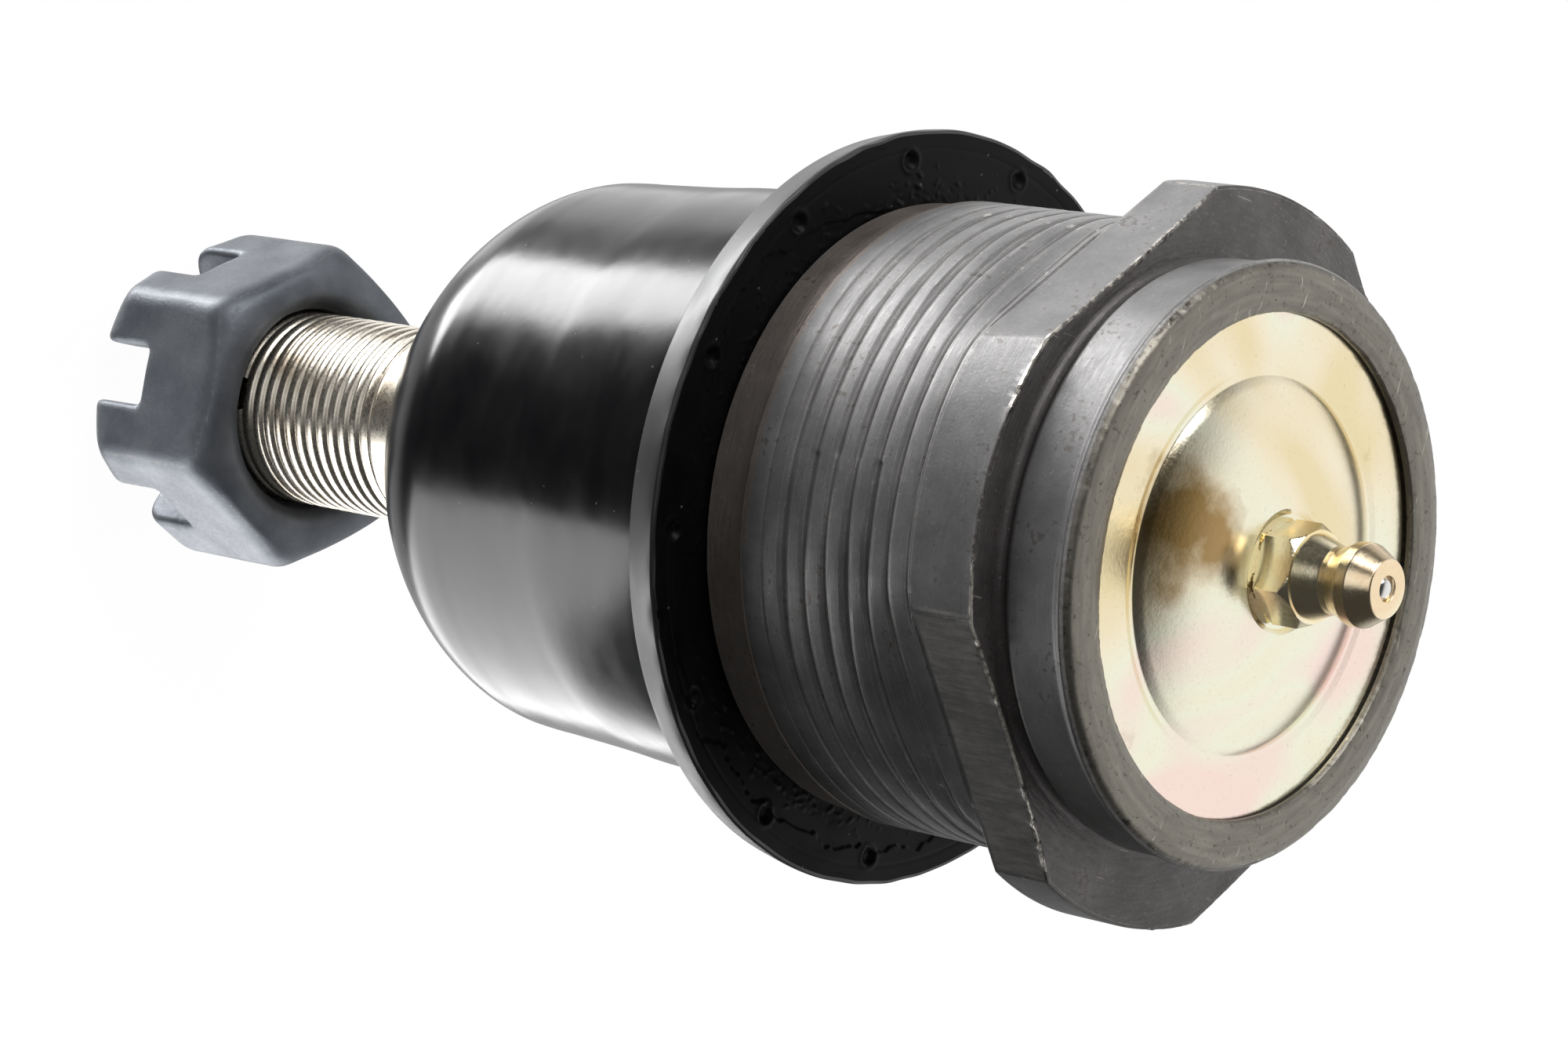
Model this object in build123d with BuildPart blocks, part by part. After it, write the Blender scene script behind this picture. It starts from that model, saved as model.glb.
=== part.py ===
"""Screw-in suspension ball joint, built as separate pieces in one shared frame.

Millimetres. The origin is the centre of the ball. +Z runs along the housing towards
the cover plate and the grease fitting; the stud and its castle nut hang down -Z.
+X points at the one corner of the wrench head that is turned flush with the thread.
"""
import os
from math import cos, radians, sqrt, tan

from build123d import *

# ---- clearances ---------------------------------------------------------------
BALL_CLEAR = 0.04        # ball in its two bearings, radial (runs)
BORE_CLEAR = 0.05        # bearings in the housing bore, radial (runs / slip fit)
COVER_CLEAR = 0.05       # cover plate in its recess, radial
THREAD_CLEAR = 0.05      # castle nut bore round the stud thread, radial (runs)
STEM_CLEAR = 0.05        # fitting stem in the cover hole, radial
CHECK_CLEAR = 0.05       # check ball in the fitting bore, radial (slides)
LIP_CLEAR = 0.05         # boot lip round the stud taper, radial
BOOT_CLEAR = 0.05        # boot bore round the housing spigot, radial
RING_CLEAR = 0.03        # moulded-in rings in their pockets, radial

# ---- ball stud ----------------------------------------------------------------
BALL_R = 15.875          # 1 1/4 in ball
BALL_FLAT_R = 3.0        # grease flat on top of the ball
NECK_R = 7.6
NECK_END_Z = -22.5       # neck meets the shoulder cone
TAPER_TOP_Z = -29.0
TAPER_R = 10.9           # radius at the large end of the taper
TAPER_STRAIGHT = 3.5     # short cylinder above the taper
TAPER_RATE = 0.0625      # radius lost per mm: 1 1/2 in per foot on diameter
TAPER_END_Z = -62.5
THREAD_R = 8.73          # 11/16-18 thread, major radius
THREAD_TOP_Z = -69.5
STUD_END_Z = -94.0
STUD_CHAMFER = 1.3
COTTER_R = 1.8
COTTER_UP = 5.8          # cotter hole centre above the stud end

# ---- housing ------------------------------------------------------------------
BORE_R = 19.0
BORE_FLOOR_Z = -11.0
THROAT_R = 15.0
MOUTH_R = 18.6
HOUSING_END_Z = -18.5
SPIGOT_R = 22.0          # boot sits here
SHOULDER_Z = -13.65      # boot flange seats against this shoulder
BAND_R = 24.9            # plain turned band next to the boot
HOUSING_THREAD_R = 25.4  # 2 in -12 thread, major radius
HOUSING_THREAD_END_Z = -9.5
THREAD_LEAD = 0.5        # chamfer at the start of the thread
CORNER_DRAFT = 0.4       # the turned corner of the head leans in by this much
HEAD_STUD_Z = 7.6        # underside of the wrench head, seats on the arm
HEAD_R = 29.25           # turned lobes of the wrench head, round the head's own centre
HEAD_AF = 52.8           # across the wrench flats, four of them
HEAD_SHIFT_X = -3.75     # the forged head sits off the thread's axis
HEAD_SHIFT_Y = -0.3
HEAD_EDGE_Z = 12.95      # cover side of the head at its rim
HEAD_ROOT_Z = 13.65      # and at the root of the neck fillet
NECK_OD_R = 23.2         # under the swaged rim
NECK_ROOT_R = 22.0       # waisted above the head
NECK_FLARE_Z = 16.6
NECK_FILLET = 1.4
RIM_R = 23.6
RIM_Z = 21.5
LIP_R = 19.55            # swaged lip, inner edge
CUT_REACH = 1.5 * HEAD_R  # cutters reach past everything on the head
RIM_TURN = 1.6           # height of the small collar that swaging leaves at the rim

# ---- cover plate --------------------------------------------------------------
COVER_R = 20.3
COVER_TOP_Z = 20.5
COVER_T = 2.0
DOME_R = 14.5
GROOVE_R = 15.3
GROOVE_DEEP = 0.45
HUB_Z = 23.5
HUB_R = 4.9
HUB_DIMPLE = 0.35

# ---- bearings and preload spring ------------------------------------------------
LOWER_TOP_Z = 0.8
SEAT_THROAT_R = 13.5
UPPER_BOTTOM_Z = 1.6
UPPER_TOP_Z = 16.8
GREASE_HOLE_R = 3.0
GREASE_GROOVE_DEEP = 0.8  # three grooves down the outside of the upper bearing
GREASE_GROOVE_W = 3.0
THROAT_GAP = 0.1         # lower bearing stands this far back from the housing throat
DISC_IN_R = 7.0
DISC_OUT_R = 18.4
DISC_T = 1.0
DISC_LAND = 0.8

# ---- grease fitting -------------------------------------------------------------
FIT_AF = 7.14            # 9/32 in hexagon
FIT_HEX_T = 3.2
FIT_HEX_CHAMFER = 0.75
FIT_BLANK_R = 6.0        # bar that the fitting is turned from, before the hexagon is cut
FIT_STEM_R = 3.15
FIT_STEM_LEN = 4.4
FIT_COLLAR_R = 3.35
FIT_NECK_R = 2.6
FIT_NECK_UP = 5.2        # neck above the hexagon seat
FIT_HEAD_R = 3.25
FIT_HEAD_UP = 7.1        # start of the parallel head
FIT_HEAD_LEN = 0.9
FIT_TIP_R = 2.25
FIT_LEN = 9.75           # seat to tip
TIP_HOLE_R = 0.95
TIP_LAND = 0.35          # depth of the tip hole before the ball's seat
CHECK_R = 1.2
CHECK_TRAVEL = 1.0
CHECK_GAP = 0.02         # ball below its seat, as drawn
SPRING_SHUT = 1.6        # room for the spring when the ball is pushed right in
FIT_BORE_R = CHECK_R + CHECK_CLEAR
FIT_PASSAGE_R = 0.7
SPRING_WIRE_R = 0.13
SPRING_COIL_R = 0.95
SPRING_TURNS = 5
SPRING_LIFT = 0.01       # lowest coil above the chamber floor

# ---- boot -----------------------------------------------------------------------
FLANGE_R = 30.87
FLANGE_BACK_R = 30.3
FLANGE_T = 3.35
WAIST_R = 24.3
BODY_TOP_R = 24.8
BODY_LOW_R = 23.7
BODY_LOW_Z = -47.7
BODY_TOP_DOWN = 9.35     # widest place of the body below the shoulder
DOME_END_Z = -62.0
DOME_END_R = 9.8
DOME_POWER = 1.57        # superellipse exponent of the dome: 2 would be an ellipse
BOOT_WALL = 2.2
LIP_TOP_Z = -57.2        # top of the thick lip inside the boot
LIP_OUT_R = 13.0         # that lip's outer edge, where the wall turns up
RING_IN_R = 22.9
RING_OUT_R = 29.6
RING_T = 1.5
RING_DEEP = 0.95         # steel ring below the flange face
LIP_RING_IN_R = 10.6
LIP_RING_OUT_R = 12.3
LIP_RING_T = 1.4
LIP_RING_Z = -59.8

# ---- castle nut -----------------------------------------------------------------
NUT_AF = 26.6
NUT_ENGAGE = 8.7         # stud thread inside the nut, from its base face
NUT_H = 17.4
NUT_TURN = 5.4           # degrees, flats turned from +X
NUT_BASE_FACE_R = 12.3
NUT_BASE_BEVEL = 1.7
NUT_CROWN_FACE_R = 12.2
NUT_CROWN_BEVEL = 2.6
NUT_CSINK_R = 10.2
NUT_SLOT_W = 5.2
NUT_SLOT_DEEP = 7.1

NUT_BASE_Z = STUD_END_Z + NUT_ENGAGE

os.makedirs("parts", exist_ok=True)


def taper_r(z):
    """Stud radius on the taper at height z."""
    start = TAPER_TOP_Z - TAPER_STRAIGHT
    return TAPER_R - TAPER_RATE * (start - z)


# ---- housing: one turned profile, then the four wrench flats ----------------------
# wrench head: four flats with turned corners, on a centre of its own
with BuildSketch() as head_outline:
    with Locations((HEAD_SHIFT_X, HEAD_SHIFT_Y)):
        Circle(HEAD_R)
        Rectangle(HEAD_AF, HEAD_AF, rotation=45, mode=Mode.INTERSECT)

# height of the cover side's shallow cone at the cutters' reach
HEAD_FALL = (HEAD_ROOT_Z - HEAD_EDGE_Z) / (HEAD_R - NECK_ROOT_R - NECK_FILLET)
HEAD_REACH_Z = HEAD_ROOT_Z - HEAD_FALL * (CUT_REACH - NECK_ROOT_R - NECK_FILLET)

with BuildPart() as housing:
    with BuildSketch(Plane.XZ):
        with BuildLine():
            Polyline(
                (NECK_ROOT_R, HEAD_ROOT_Z + NECK_FILLET),
                (NECK_OD_R, NECK_FLARE_Z),
                (NECK_OD_R, RIM_Z - RIM_TURN),
                (RIM_R, RIM_Z - 0.56 * RIM_TURN),
                (RIM_R, RIM_Z - 0.28 * RIM_TURN),
                (RIM_R - 0.5, RIM_Z - 0.12),
                (LIP_R + 0.9, RIM_Z),
                (LIP_R, RIM_Z - 0.15),
                (LIP_R, COVER_TOP_Z),
                (COVER_R + COVER_CLEAR, COVER_TOP_Z),
                (COVER_R + COVER_CLEAR, COVER_TOP_Z - COVER_T),
                (BORE_R, COVER_TOP_Z - COVER_T),
                (BORE_R, BORE_FLOOR_Z),
                (THROAT_R, BORE_FLOOR_Z),
                (MOUTH_R, HOUSING_END_Z),
                (SPIGOT_R - 0.6, HOUSING_END_Z),
                (SPIGOT_R, HOUSING_END_Z + 0.6),
                (SPIGOT_R, SHOULDER_Z),
                (BAND_R, SHOULDER_Z),
                (BAND_R, HOUSING_THREAD_END_Z - THREAD_LEAD),
                (HOUSING_THREAD_R, HOUSING_THREAD_END_Z),
                (HOUSING_THREAD_R, HEAD_STUD_Z),
                (CUT_REACH, HEAD_STUD_Z),
                (CUT_REACH, HEAD_REACH_Z),
                (NECK_ROOT_R + NECK_FILLET, HEAD_ROOT_Z),
            )
            RadiusArc(
                (NECK_ROOT_R + NECK_FILLET, HEAD_ROOT_Z),
                (NECK_ROOT_R, HEAD_ROOT_Z + NECK_FILLET),
                NECK_FILLET,
            )
        make_face()
    revolve(axis=Axis.Z)
    # the head is trimmed to its outline, which leaves the neck and the rim alone
    with BuildSketch(Plane.XY.offset(HEAD_STUD_Z)):
        Circle(2 * CUT_REACH)
        add(head_outline.sketch, mode=Mode.SUBTRACT)
    extrude(amount=HEAD_ROOT_Z + NECK_FILLET - HEAD_STUD_Z, mode=Mode.SUBTRACT)
    # the corner between the nearer flats is turned flush with the thread
    with BuildSketch(Plane(origin=(0, 0, 0), x_dir=(1, -1, 0), z_dir=(-1, -1, 0))):
        with BuildLine():
            Polyline(
                (HOUSING_THREAD_R, HEAD_STUD_Z),
                (HOUSING_THREAD_R - CORNER_DRAFT, HEAD_ROOT_Z + NECK_FILLET),
                (CUT_REACH, HEAD_ROOT_Z + NECK_FILLET),
                (CUT_REACH, HEAD_STUD_Z),
                close=True,
            )
        make_face()
    revolve(axis=Axis.Z, revolution_arc=90, mode=Mode.SUBTRACT)
housing.part.label = "housing"
export_step(housing.part, "parts/housing.step")

# ---- lower bearing: the race under the ball ----------------------------------------
SEAT_R = BALL_R + BALL_CLEAR
SEAT_THROAT_Z = -sqrt(SEAT_R**2 - SEAT_THROAT_R**2)
with BuildPart() as lower_bearing:
    with BuildSketch(Plane.XZ):
        with BuildLine():
            Polyline(
                (sqrt(SEAT_R**2 - LOWER_TOP_Z**2), LOWER_TOP_Z),
                (BORE_R - BORE_CLEAR - 0.5, LOWER_TOP_Z),
                (BORE_R - BORE_CLEAR, LOWER_TOP_Z - 0.5),
                (BORE_R - BORE_CLEAR, BORE_FLOOR_Z),
                (THROAT_R + THROAT_GAP, BORE_FLOOR_Z),
                (SEAT_THROAT_R, SEAT_THROAT_Z),
            )
            ThreePointArc(
                (SEAT_THROAT_R, SEAT_THROAT_Z),
                (SEAT_R * cos(radians(15)), -SEAT_R * sqrt(1 - cos(radians(15)) ** 2)),
                (sqrt(SEAT_R**2 - LOWER_TOP_Z**2), LOWER_TOP_Z),
            )
        make_face()
    revolve(axis=Axis.Z)
lower_bearing.part.label = "lower_bearing"
export_step(lower_bearing.part, "parts/lower_bearing.step")

# ---- upper bearing: the pressure pad on top of the ball, with its grease hole --------
with BuildPart() as upper_bearing:
    with BuildSketch(Plane.XZ):
        with BuildLine():
            Polyline(
                (GREASE_HOLE_R, sqrt(SEAT_R**2 - GREASE_HOLE_R**2)),
                (GREASE_HOLE_R, UPPER_TOP_Z),
                (BORE_R - BORE_CLEAR - 1.5, UPPER_TOP_Z),
                (BORE_R - BORE_CLEAR, UPPER_TOP_Z - 1.5),
                (BORE_R - BORE_CLEAR, UPPER_BOTTOM_Z),
                (sqrt(SEAT_R**2 - UPPER_BOTTOM_Z**2), UPPER_BOTTOM_Z),
            )
            ThreePointArc(
                (sqrt(SEAT_R**2 - UPPER_BOTTOM_Z**2), UPPER_BOTTOM_Z),
                (SEAT_R * cos(radians(45)), SEAT_R * cos(radians(45))),
                (GREASE_HOLE_R, sqrt(SEAT_R**2 - GREASE_HOLE_R**2)),
            )
        make_face()
    revolve(axis=Axis.Z)
    # three grease grooves down the outside of the pad
    with PolarLocations(BORE_R - BORE_CLEAR, 3, start_angle=90):
        Box(2 * GREASE_GROOVE_DEEP, GREASE_GROOVE_W, 4 * UPPER_TOP_Z, mode=Mode.SUBTRACT)
upper_bearing.part.label = "upper_bearing"
export_step(upper_bearing.part, "parts/upper_bearing.step")

# ---- preload spring: a coned disc pressed between the cover and the upper bearing -----
DISC_TOP_Z = COVER_TOP_Z - COVER_T
with BuildPart() as preload_disc:
    with BuildSketch(Plane.XZ):
        with BuildLine():
            Polyline(
                (DISC_IN_R, UPPER_TOP_Z),
                (DISC_IN_R + DISC_LAND, UPPER_TOP_Z),
                (DISC_OUT_R, DISC_TOP_Z - DISC_T),
                (DISC_OUT_R, DISC_TOP_Z),
                (DISC_OUT_R - DISC_LAND, DISC_TOP_Z),
                (DISC_IN_R, UPPER_TOP_Z + DISC_T),
                close=True,
            )
        make_face()
    revolve(axis=Axis.Z)
preload_disc.part.label = "preload_disc"
export_step(preload_disc.part, "parts/preload_disc.step")

# ---- cover plate: pressed disc with a dome and a flat hub for the fitting -------------
UNDER_Z = COVER_TOP_Z - COVER_T
HOLE_R = FIT_STEM_R + STEM_CLEAR
DOME_MID = ((DOME_R + HUB_R) / 2, COVER_TOP_Z + (HUB_Z - COVER_TOP_Z) * 0.70)
with BuildPart() as cover_plate:
    with BuildSketch(Plane.XZ):
        with BuildLine():
            Polyline(
                (HOLE_R, HUB_Z - COVER_T),
                (HOLE_R, HUB_Z - HUB_DIMPLE),
                (HUB_R - 0.35, HUB_Z - HUB_DIMPLE),
                (HUB_R, HUB_Z),
            )
            ThreePointArc((HUB_R, HUB_Z), DOME_MID, (DOME_R, COVER_TOP_Z))
            Polyline(
                (DOME_R, COVER_TOP_Z),
                (DOME_R + 0.25, COVER_TOP_Z - GROOVE_DEEP),
                (GROOVE_R, COVER_TOP_Z),
                (COVER_R - 0.3, COVER_TOP_Z),
                (COVER_R, COVER_TOP_Z - 0.3),
                (COVER_R, UNDER_Z),
                (DOME_R, UNDER_Z),
            )
            ThreePointArc(
                (DOME_R, UNDER_Z),
                (DOME_MID[0] - 0.6, DOME_MID[1] - COVER_T),
                (HUB_R, HUB_Z - COVER_T),
            )
            Line((HUB_R, HUB_Z - COVER_T), (HOLE_R, HUB_Z - COVER_T))
        make_face()
    revolve(axis=Axis.Z)
cover_plate.part.label = "cover_plate"
export_step(cover_plate.part, "parts/cover_plate.step")

# ---- grease fitting body ---------------------------------------------------------------
CHAMFER_R = FIT_BLANK_R + 0.1
SEAT_Z = HUB_Z - HUB_DIMPLE
TIP_Z = SEAT_Z + FIT_LEN
CHECK_Z = TIP_Z - TIP_LAND - sqrt(CHECK_R**2 - TIP_HOLE_R**2)   # ball centre, shut
CHAMBER_Z = CHECK_Z - CHECK_TRAVEL - CHECK_R - SPRING_SHUT   # floor of the ball chamber
with BuildPart() as fitting_body:
    with BuildSketch(Plane.XZ):
        with BuildLine():
            Polyline(
                (FIT_PASSAGE_R, SEAT_Z - FIT_STEM_LEN),
                (FIT_STEM_R - 0.5, SEAT_Z - FIT_STEM_LEN),
                (FIT_STEM_R, SEAT_Z - FIT_STEM_LEN + 0.7),
                (FIT_STEM_R, SEAT_Z),
                (FIT_BLANK_R, SEAT_Z),
                (FIT_BLANK_R, SEAT_Z + FIT_HEX_T),
                (FIT_COLLAR_R, SEAT_Z + FIT_HEX_T),
                (FIT_NECK_R, SEAT_Z + FIT_NECK_UP),
                (FIT_NECK_R, SEAT_Z + FIT_NECK_UP + 0.5),
                (FIT_HEAD_R, SEAT_Z + FIT_HEAD_UP),
                (FIT_HEAD_R, SEAT_Z + FIT_HEAD_UP + FIT_HEAD_LEN),
                (FIT_TIP_R, TIP_Z),
                (TIP_HOLE_R, TIP_Z),
                (TIP_HOLE_R, TIP_Z - TIP_LAND),
                (FIT_BORE_R, CHECK_Z + TIP_LAND),
                (FIT_BORE_R, CHAMBER_Z),
                (FIT_PASSAGE_R, CHAMBER_Z),
                close=True,
            )
        make_face()
    revolve(axis=Axis.Z)
    # hexagon with both ends chamfered by a turning tool
    with BuildSketch(Plane.XY.offset(SEAT_Z)):
        Circle(1.2 * FIT_BLANK_R)
        RegularPolygon(FIT_AF / 2, 6, major_radius=False, mode=Mode.SUBTRACT)
    extrude(amount=FIT_HEX_T, mode=Mode.SUBTRACT)
    with BuildSketch(Plane.XZ):
        with BuildLine():
            Polyline(
                (FIT_AF / 2 + 0.02, SEAT_Z + FIT_HEX_T),
                (CHAMFER_R, SEAT_Z + FIT_HEX_T),
                (CHAMFER_R, SEAT_Z + 0.19 * FIT_HEX_T),
                (FIT_AF / 2 + FIT_HEX_CHAMFER, SEAT_Z + FIT_HEX_T - FIT_HEX_CHAMFER * 1.3),
                close=True,
            )
        make_face()
        with BuildLine():
            Polyline(
                (FIT_AF / 2 + 0.1, SEAT_Z),
                (CHAMFER_R, SEAT_Z),
                (CHAMFER_R, SEAT_Z + 0.375 * FIT_HEX_T),
                close=True,
            )
        make_face()
    revolve(axis=Axis.Z, mode=Mode.SUBTRACT)
fitting_body.part.label = "fitting_body"
export_step(fitting_body.part, "parts/fitting_body.step")

# ---- check ball and its spring inside the fitting -----------------------------------------
with BuildPart() as check_ball:
    with Locations((0, 0, CHECK_Z - CHECK_GAP)):
        Sphere(CHECK_R)
check_ball.part.label = "check_ball"
export_step(check_ball.part, "parts/check_ball.step")

SPRING_TOP_Z = CHECK_Z - CHECK_GAP - sqrt((CHECK_R + SPRING_WIRE_R) ** 2 - SPRING_COIL_R**2)
SPRING_H = SPRING_TOP_Z - SPRING_WIRE_R - CHAMBER_Z - SPRING_LIFT - CHECK_GAP
with BuildPart() as check_spring:
    with BuildLine():
        coil = Helix(SPRING_H / SPRING_TURNS, SPRING_H, SPRING_COIL_R,
                     center=(0, 0, CHAMBER_Z + SPRING_WIRE_R + SPRING_LIFT))
    with BuildSketch(Plane(origin=coil @ 0, z_dir=coil % 0)):
        Circle(SPRING_WIRE_R)
    sweep(is_frenet=True)
check_spring.part.label = "check_spring"
export_step(check_spring.part, "parts/check_spring.step")

# ---- ball stud ------------------------------------------------------------------------------
BALL_FLAT_Z = sqrt(BALL_R**2 - BALL_FLAT_R**2)
NECK_TOP_Z = -sqrt(BALL_R**2 - NECK_R**2)
with BuildPart() as ball_stud:
    with BuildSketch(Plane.XZ):
        with BuildLine():
            Line((0, BALL_FLAT_Z), (BALL_FLAT_R, BALL_FLAT_Z))
            ThreePointArc((BALL_FLAT_R, BALL_FLAT_Z), (BALL_R, 0), (NECK_R, NECK_TOP_Z))
            Polyline(
                (NECK_R, NECK_TOP_Z),
                (NECK_R, NECK_END_Z),
                (NECK_R + 0.5, NECK_END_Z - 1.6),
                (TAPER_R - 0.4, TAPER_TOP_Z + 0.6),
                (TAPER_R, TAPER_TOP_Z),
                (TAPER_R, TAPER_TOP_Z - TAPER_STRAIGHT),
                (taper_r(TAPER_END_Z), TAPER_END_Z),
                (THREAD_R, TAPER_END_Z - 0.6),
                (THREAD_R, STUD_END_Z + STUD_CHAMFER),
                (THREAD_R - STUD_CHAMFER, STUD_END_Z),
                (0, STUD_END_Z),
                (0, BALL_FLAT_Z),
            )
        make_face()
    revolve(axis=Axis.Z)
    # cotter hole, in line with one pair of the nut's slots
    with Locations(Pos(0, 0, STUD_END_Z + COTTER_UP) * Rot(0, 0, NUT_TURN) * Rot(0, 90, 0)):
        Cylinder(COTTER_R, 4 * THREAD_R, mode=Mode.SUBTRACT)
ball_stud.part.label = "ball_stud"
export_step(ball_stud.part, "parts/ball_stud.step")

# ---- boot: flange, waist, body and dome, with pockets for its two moulded-in rings ------------
FLANGE_BACK_Z = SHOULDER_Z - FLANGE_T
BODY_TOP_Z = SHOULDER_Z - BODY_TOP_DOWN
BODY_MID_R = (BODY_TOP_R + BODY_LOW_R) / 2 - 0.1
BODY_MID_Z = (BODY_TOP_Z + BODY_LOW_Z) / 2


def dome_point(share):
    """Point on the dome's outline, at this share of its depth."""
    reach = (1 - share**DOME_POWER) ** (1 / DOME_POWER)
    return DOME_END_R + reach * (BODY_LOW_R - DOME_END_R), BODY_LOW_Z + share * (DOME_END_Z - BODY_LOW_Z)


with BuildPart() as dust_boot:
    with BuildSketch(Plane.XZ):
        with BuildLine():
            Polyline(
                (SPIGOT_R + BOOT_CLEAR, SHOULDER_Z),
                (FLANGE_R - 0.25, SHOULDER_Z),
                (FLANGE_R, SHOULDER_Z - 0.25),
                (FLANGE_BACK_R, FLANGE_BACK_Z + 0.3),
                (FLANGE_BACK_R - 0.4, FLANGE_BACK_Z),
                (WAIST_R + 0.9, FLANGE_BACK_Z - 0.25),
                (WAIST_R, FLANGE_BACK_Z - 1.3),
            )
            Spline(
                (WAIST_R, FLANGE_BACK_Z - 1.3),
                (BODY_TOP_R, BODY_TOP_Z),
                (BODY_MID_R, BODY_MID_Z),
                (BODY_LOW_R, BODY_LOW_Z),
                *[dome_point(share) for share in (0.3, 0.64, 0.88)],
                (DOME_END_R, DOME_END_Z),
                tangents=((0, -1), (-1, -0.16)),
            )
            Polyline(
                (DOME_END_R, DOME_END_Z),
                (taper_r(DOME_END_Z) + LIP_CLEAR, DOME_END_Z),
                (taper_r(LIP_TOP_Z) + LIP_CLEAR, LIP_TOP_Z),
                (LIP_OUT_R, LIP_TOP_Z),
                (LIP_OUT_R + BOOT_WALL, LIP_TOP_Z + BOOT_WALL / 2),
            )
            Spline(
                (LIP_OUT_R + BOOT_WALL, LIP_TOP_Z + BOOT_WALL / 2),
                (dome_point(0.3)[0] - BOOT_WALL, dome_point(0.3)[1] + BOOT_WALL / 4),
                (BODY_LOW_R - BOOT_WALL, BODY_LOW_Z + BOOT_WALL / 2),
                (BODY_MID_R - BOOT_WALL, BODY_MID_Z),
                (BODY_TOP_R - BOOT_WALL, BODY_TOP_Z),
                (SPIGOT_R + BOOT_CLEAR, HOUSING_END_Z - 0.8),
            )
            Line((SPIGOT_R + BOOT_CLEAR, HOUSING_END_Z - 0.8), (SPIGOT_R + BOOT_CLEAR, SHOULDER_Z))
        make_face()
    revolve(axis=Axis.Z)
    with BuildSketch(Plane.XY.offset(SHOULDER_Z - RING_DEEP - RING_T)):
        Circle(RING_OUT_R + RING_CLEAR)
        Circle(RING_IN_R - RING_CLEAR, mode=Mode.SUBTRACT)
    extrude(amount=RING_T, mode=Mode.SUBTRACT)
    with BuildSketch(Plane.XY.offset(LIP_RING_Z)):
        Circle(LIP_RING_OUT_R + RING_CLEAR)
        Circle(LIP_RING_IN_R - RING_CLEAR, mode=Mode.SUBTRACT)
    extrude(amount=LIP_RING_T, mode=Mode.SUBTRACT)
dust_boot.part.label = "dust_boot"
export_step(dust_boot.part, "parts/dust_boot.step")

# ---- steel ring in the boot flange, and the stiffening ring in the boot lip -------------------
with BuildPart() as flange_ring:
    with BuildSketch(Plane.XY.offset(SHOULDER_Z - RING_DEEP - RING_T)):
        Circle(RING_OUT_R)
        Circle(RING_IN_R, mode=Mode.SUBTRACT)
    extrude(amount=RING_T)
flange_ring.part.label = "flange_ring"
export_step(flange_ring.part, "parts/flange_ring.step")

with BuildPart() as lip_ring:
    with BuildSketch(Plane.XY.offset(LIP_RING_Z)):
        Circle(LIP_RING_OUT_R)
        Circle(LIP_RING_IN_R, mode=Mode.SUBTRACT)
    extrude(amount=LIP_RING_T)
lip_ring.part.label = "lip_ring"
export_step(lip_ring.part, "parts/lip_ring.step")

# ---- castle nut -------------------------------------------------------------------------------
NUT_TOP_Z = NUT_BASE_Z           # seating face, towards the boot
NUT_LOW_Z = NUT_BASE_Z - NUT_H   # castellated end
NUT_BORE_R = THREAD_R + THREAD_CLEAR
NUT_CORNER_R = NUT_AF / 2 / cos(radians(30)) - 0.35
with BuildPart() as castle_nut:
    with BuildSketch(Plane.XZ):
        with BuildLine():
            Polyline(
                (NUT_CSINK_R, NUT_TOP_Z),
                (NUT_BASE_FACE_R, NUT_TOP_Z),
                (NUT_CORNER_R, NUT_TOP_Z - NUT_BASE_BEVEL),
                (NUT_CORNER_R, NUT_LOW_Z + NUT_CROWN_BEVEL),
                (NUT_CROWN_FACE_R, NUT_LOW_Z),
                (NUT_BORE_R, NUT_LOW_Z),
                (NUT_BORE_R, NUT_TOP_Z - (NUT_CSINK_R - NUT_BORE_R) / tan(radians(55))),
                close=True,
            )
        make_face()
    revolve(axis=Axis.Z)
    with BuildSketch(Plane.XY.offset(NUT_LOW_Z)):
        RegularPolygon(NUT_AF / 2, 6, major_radius=False, rotation=NUT_TURN + 30)
    extrude(amount=NUT_H, mode=Mode.INTERSECT)
    with BuildSketch(Plane.XY.offset(NUT_LOW_Z)):
        with Locations(Rotation(0, 0, NUT_TURN), Rotation(0, 0, NUT_TURN + 60), Rotation(0, 0, NUT_TURN + 120)):
            Rectangle(2 * NUT_AF, NUT_SLOT_W)
    extrude(amount=NUT_SLOT_DEEP, mode=Mode.SUBTRACT)
castle_nut.part.label = "castle_nut"
export_step(castle_nut.part, "parts/castle_nut.step")
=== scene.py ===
"""Looks of a screw-in suspension ball joint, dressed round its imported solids.

The origin is the ball's centre, +Z runs to the cover plate and the grease fitting, and the
stud and castle nut hang down -Z. Sizes and profiles below are in millimetres.
"""
from math import atan2, cos, pi, radians, sin, sqrt, tan

import bmesh
import bpy
import numpy as np
from mathutils import Matrix, Vector


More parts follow.
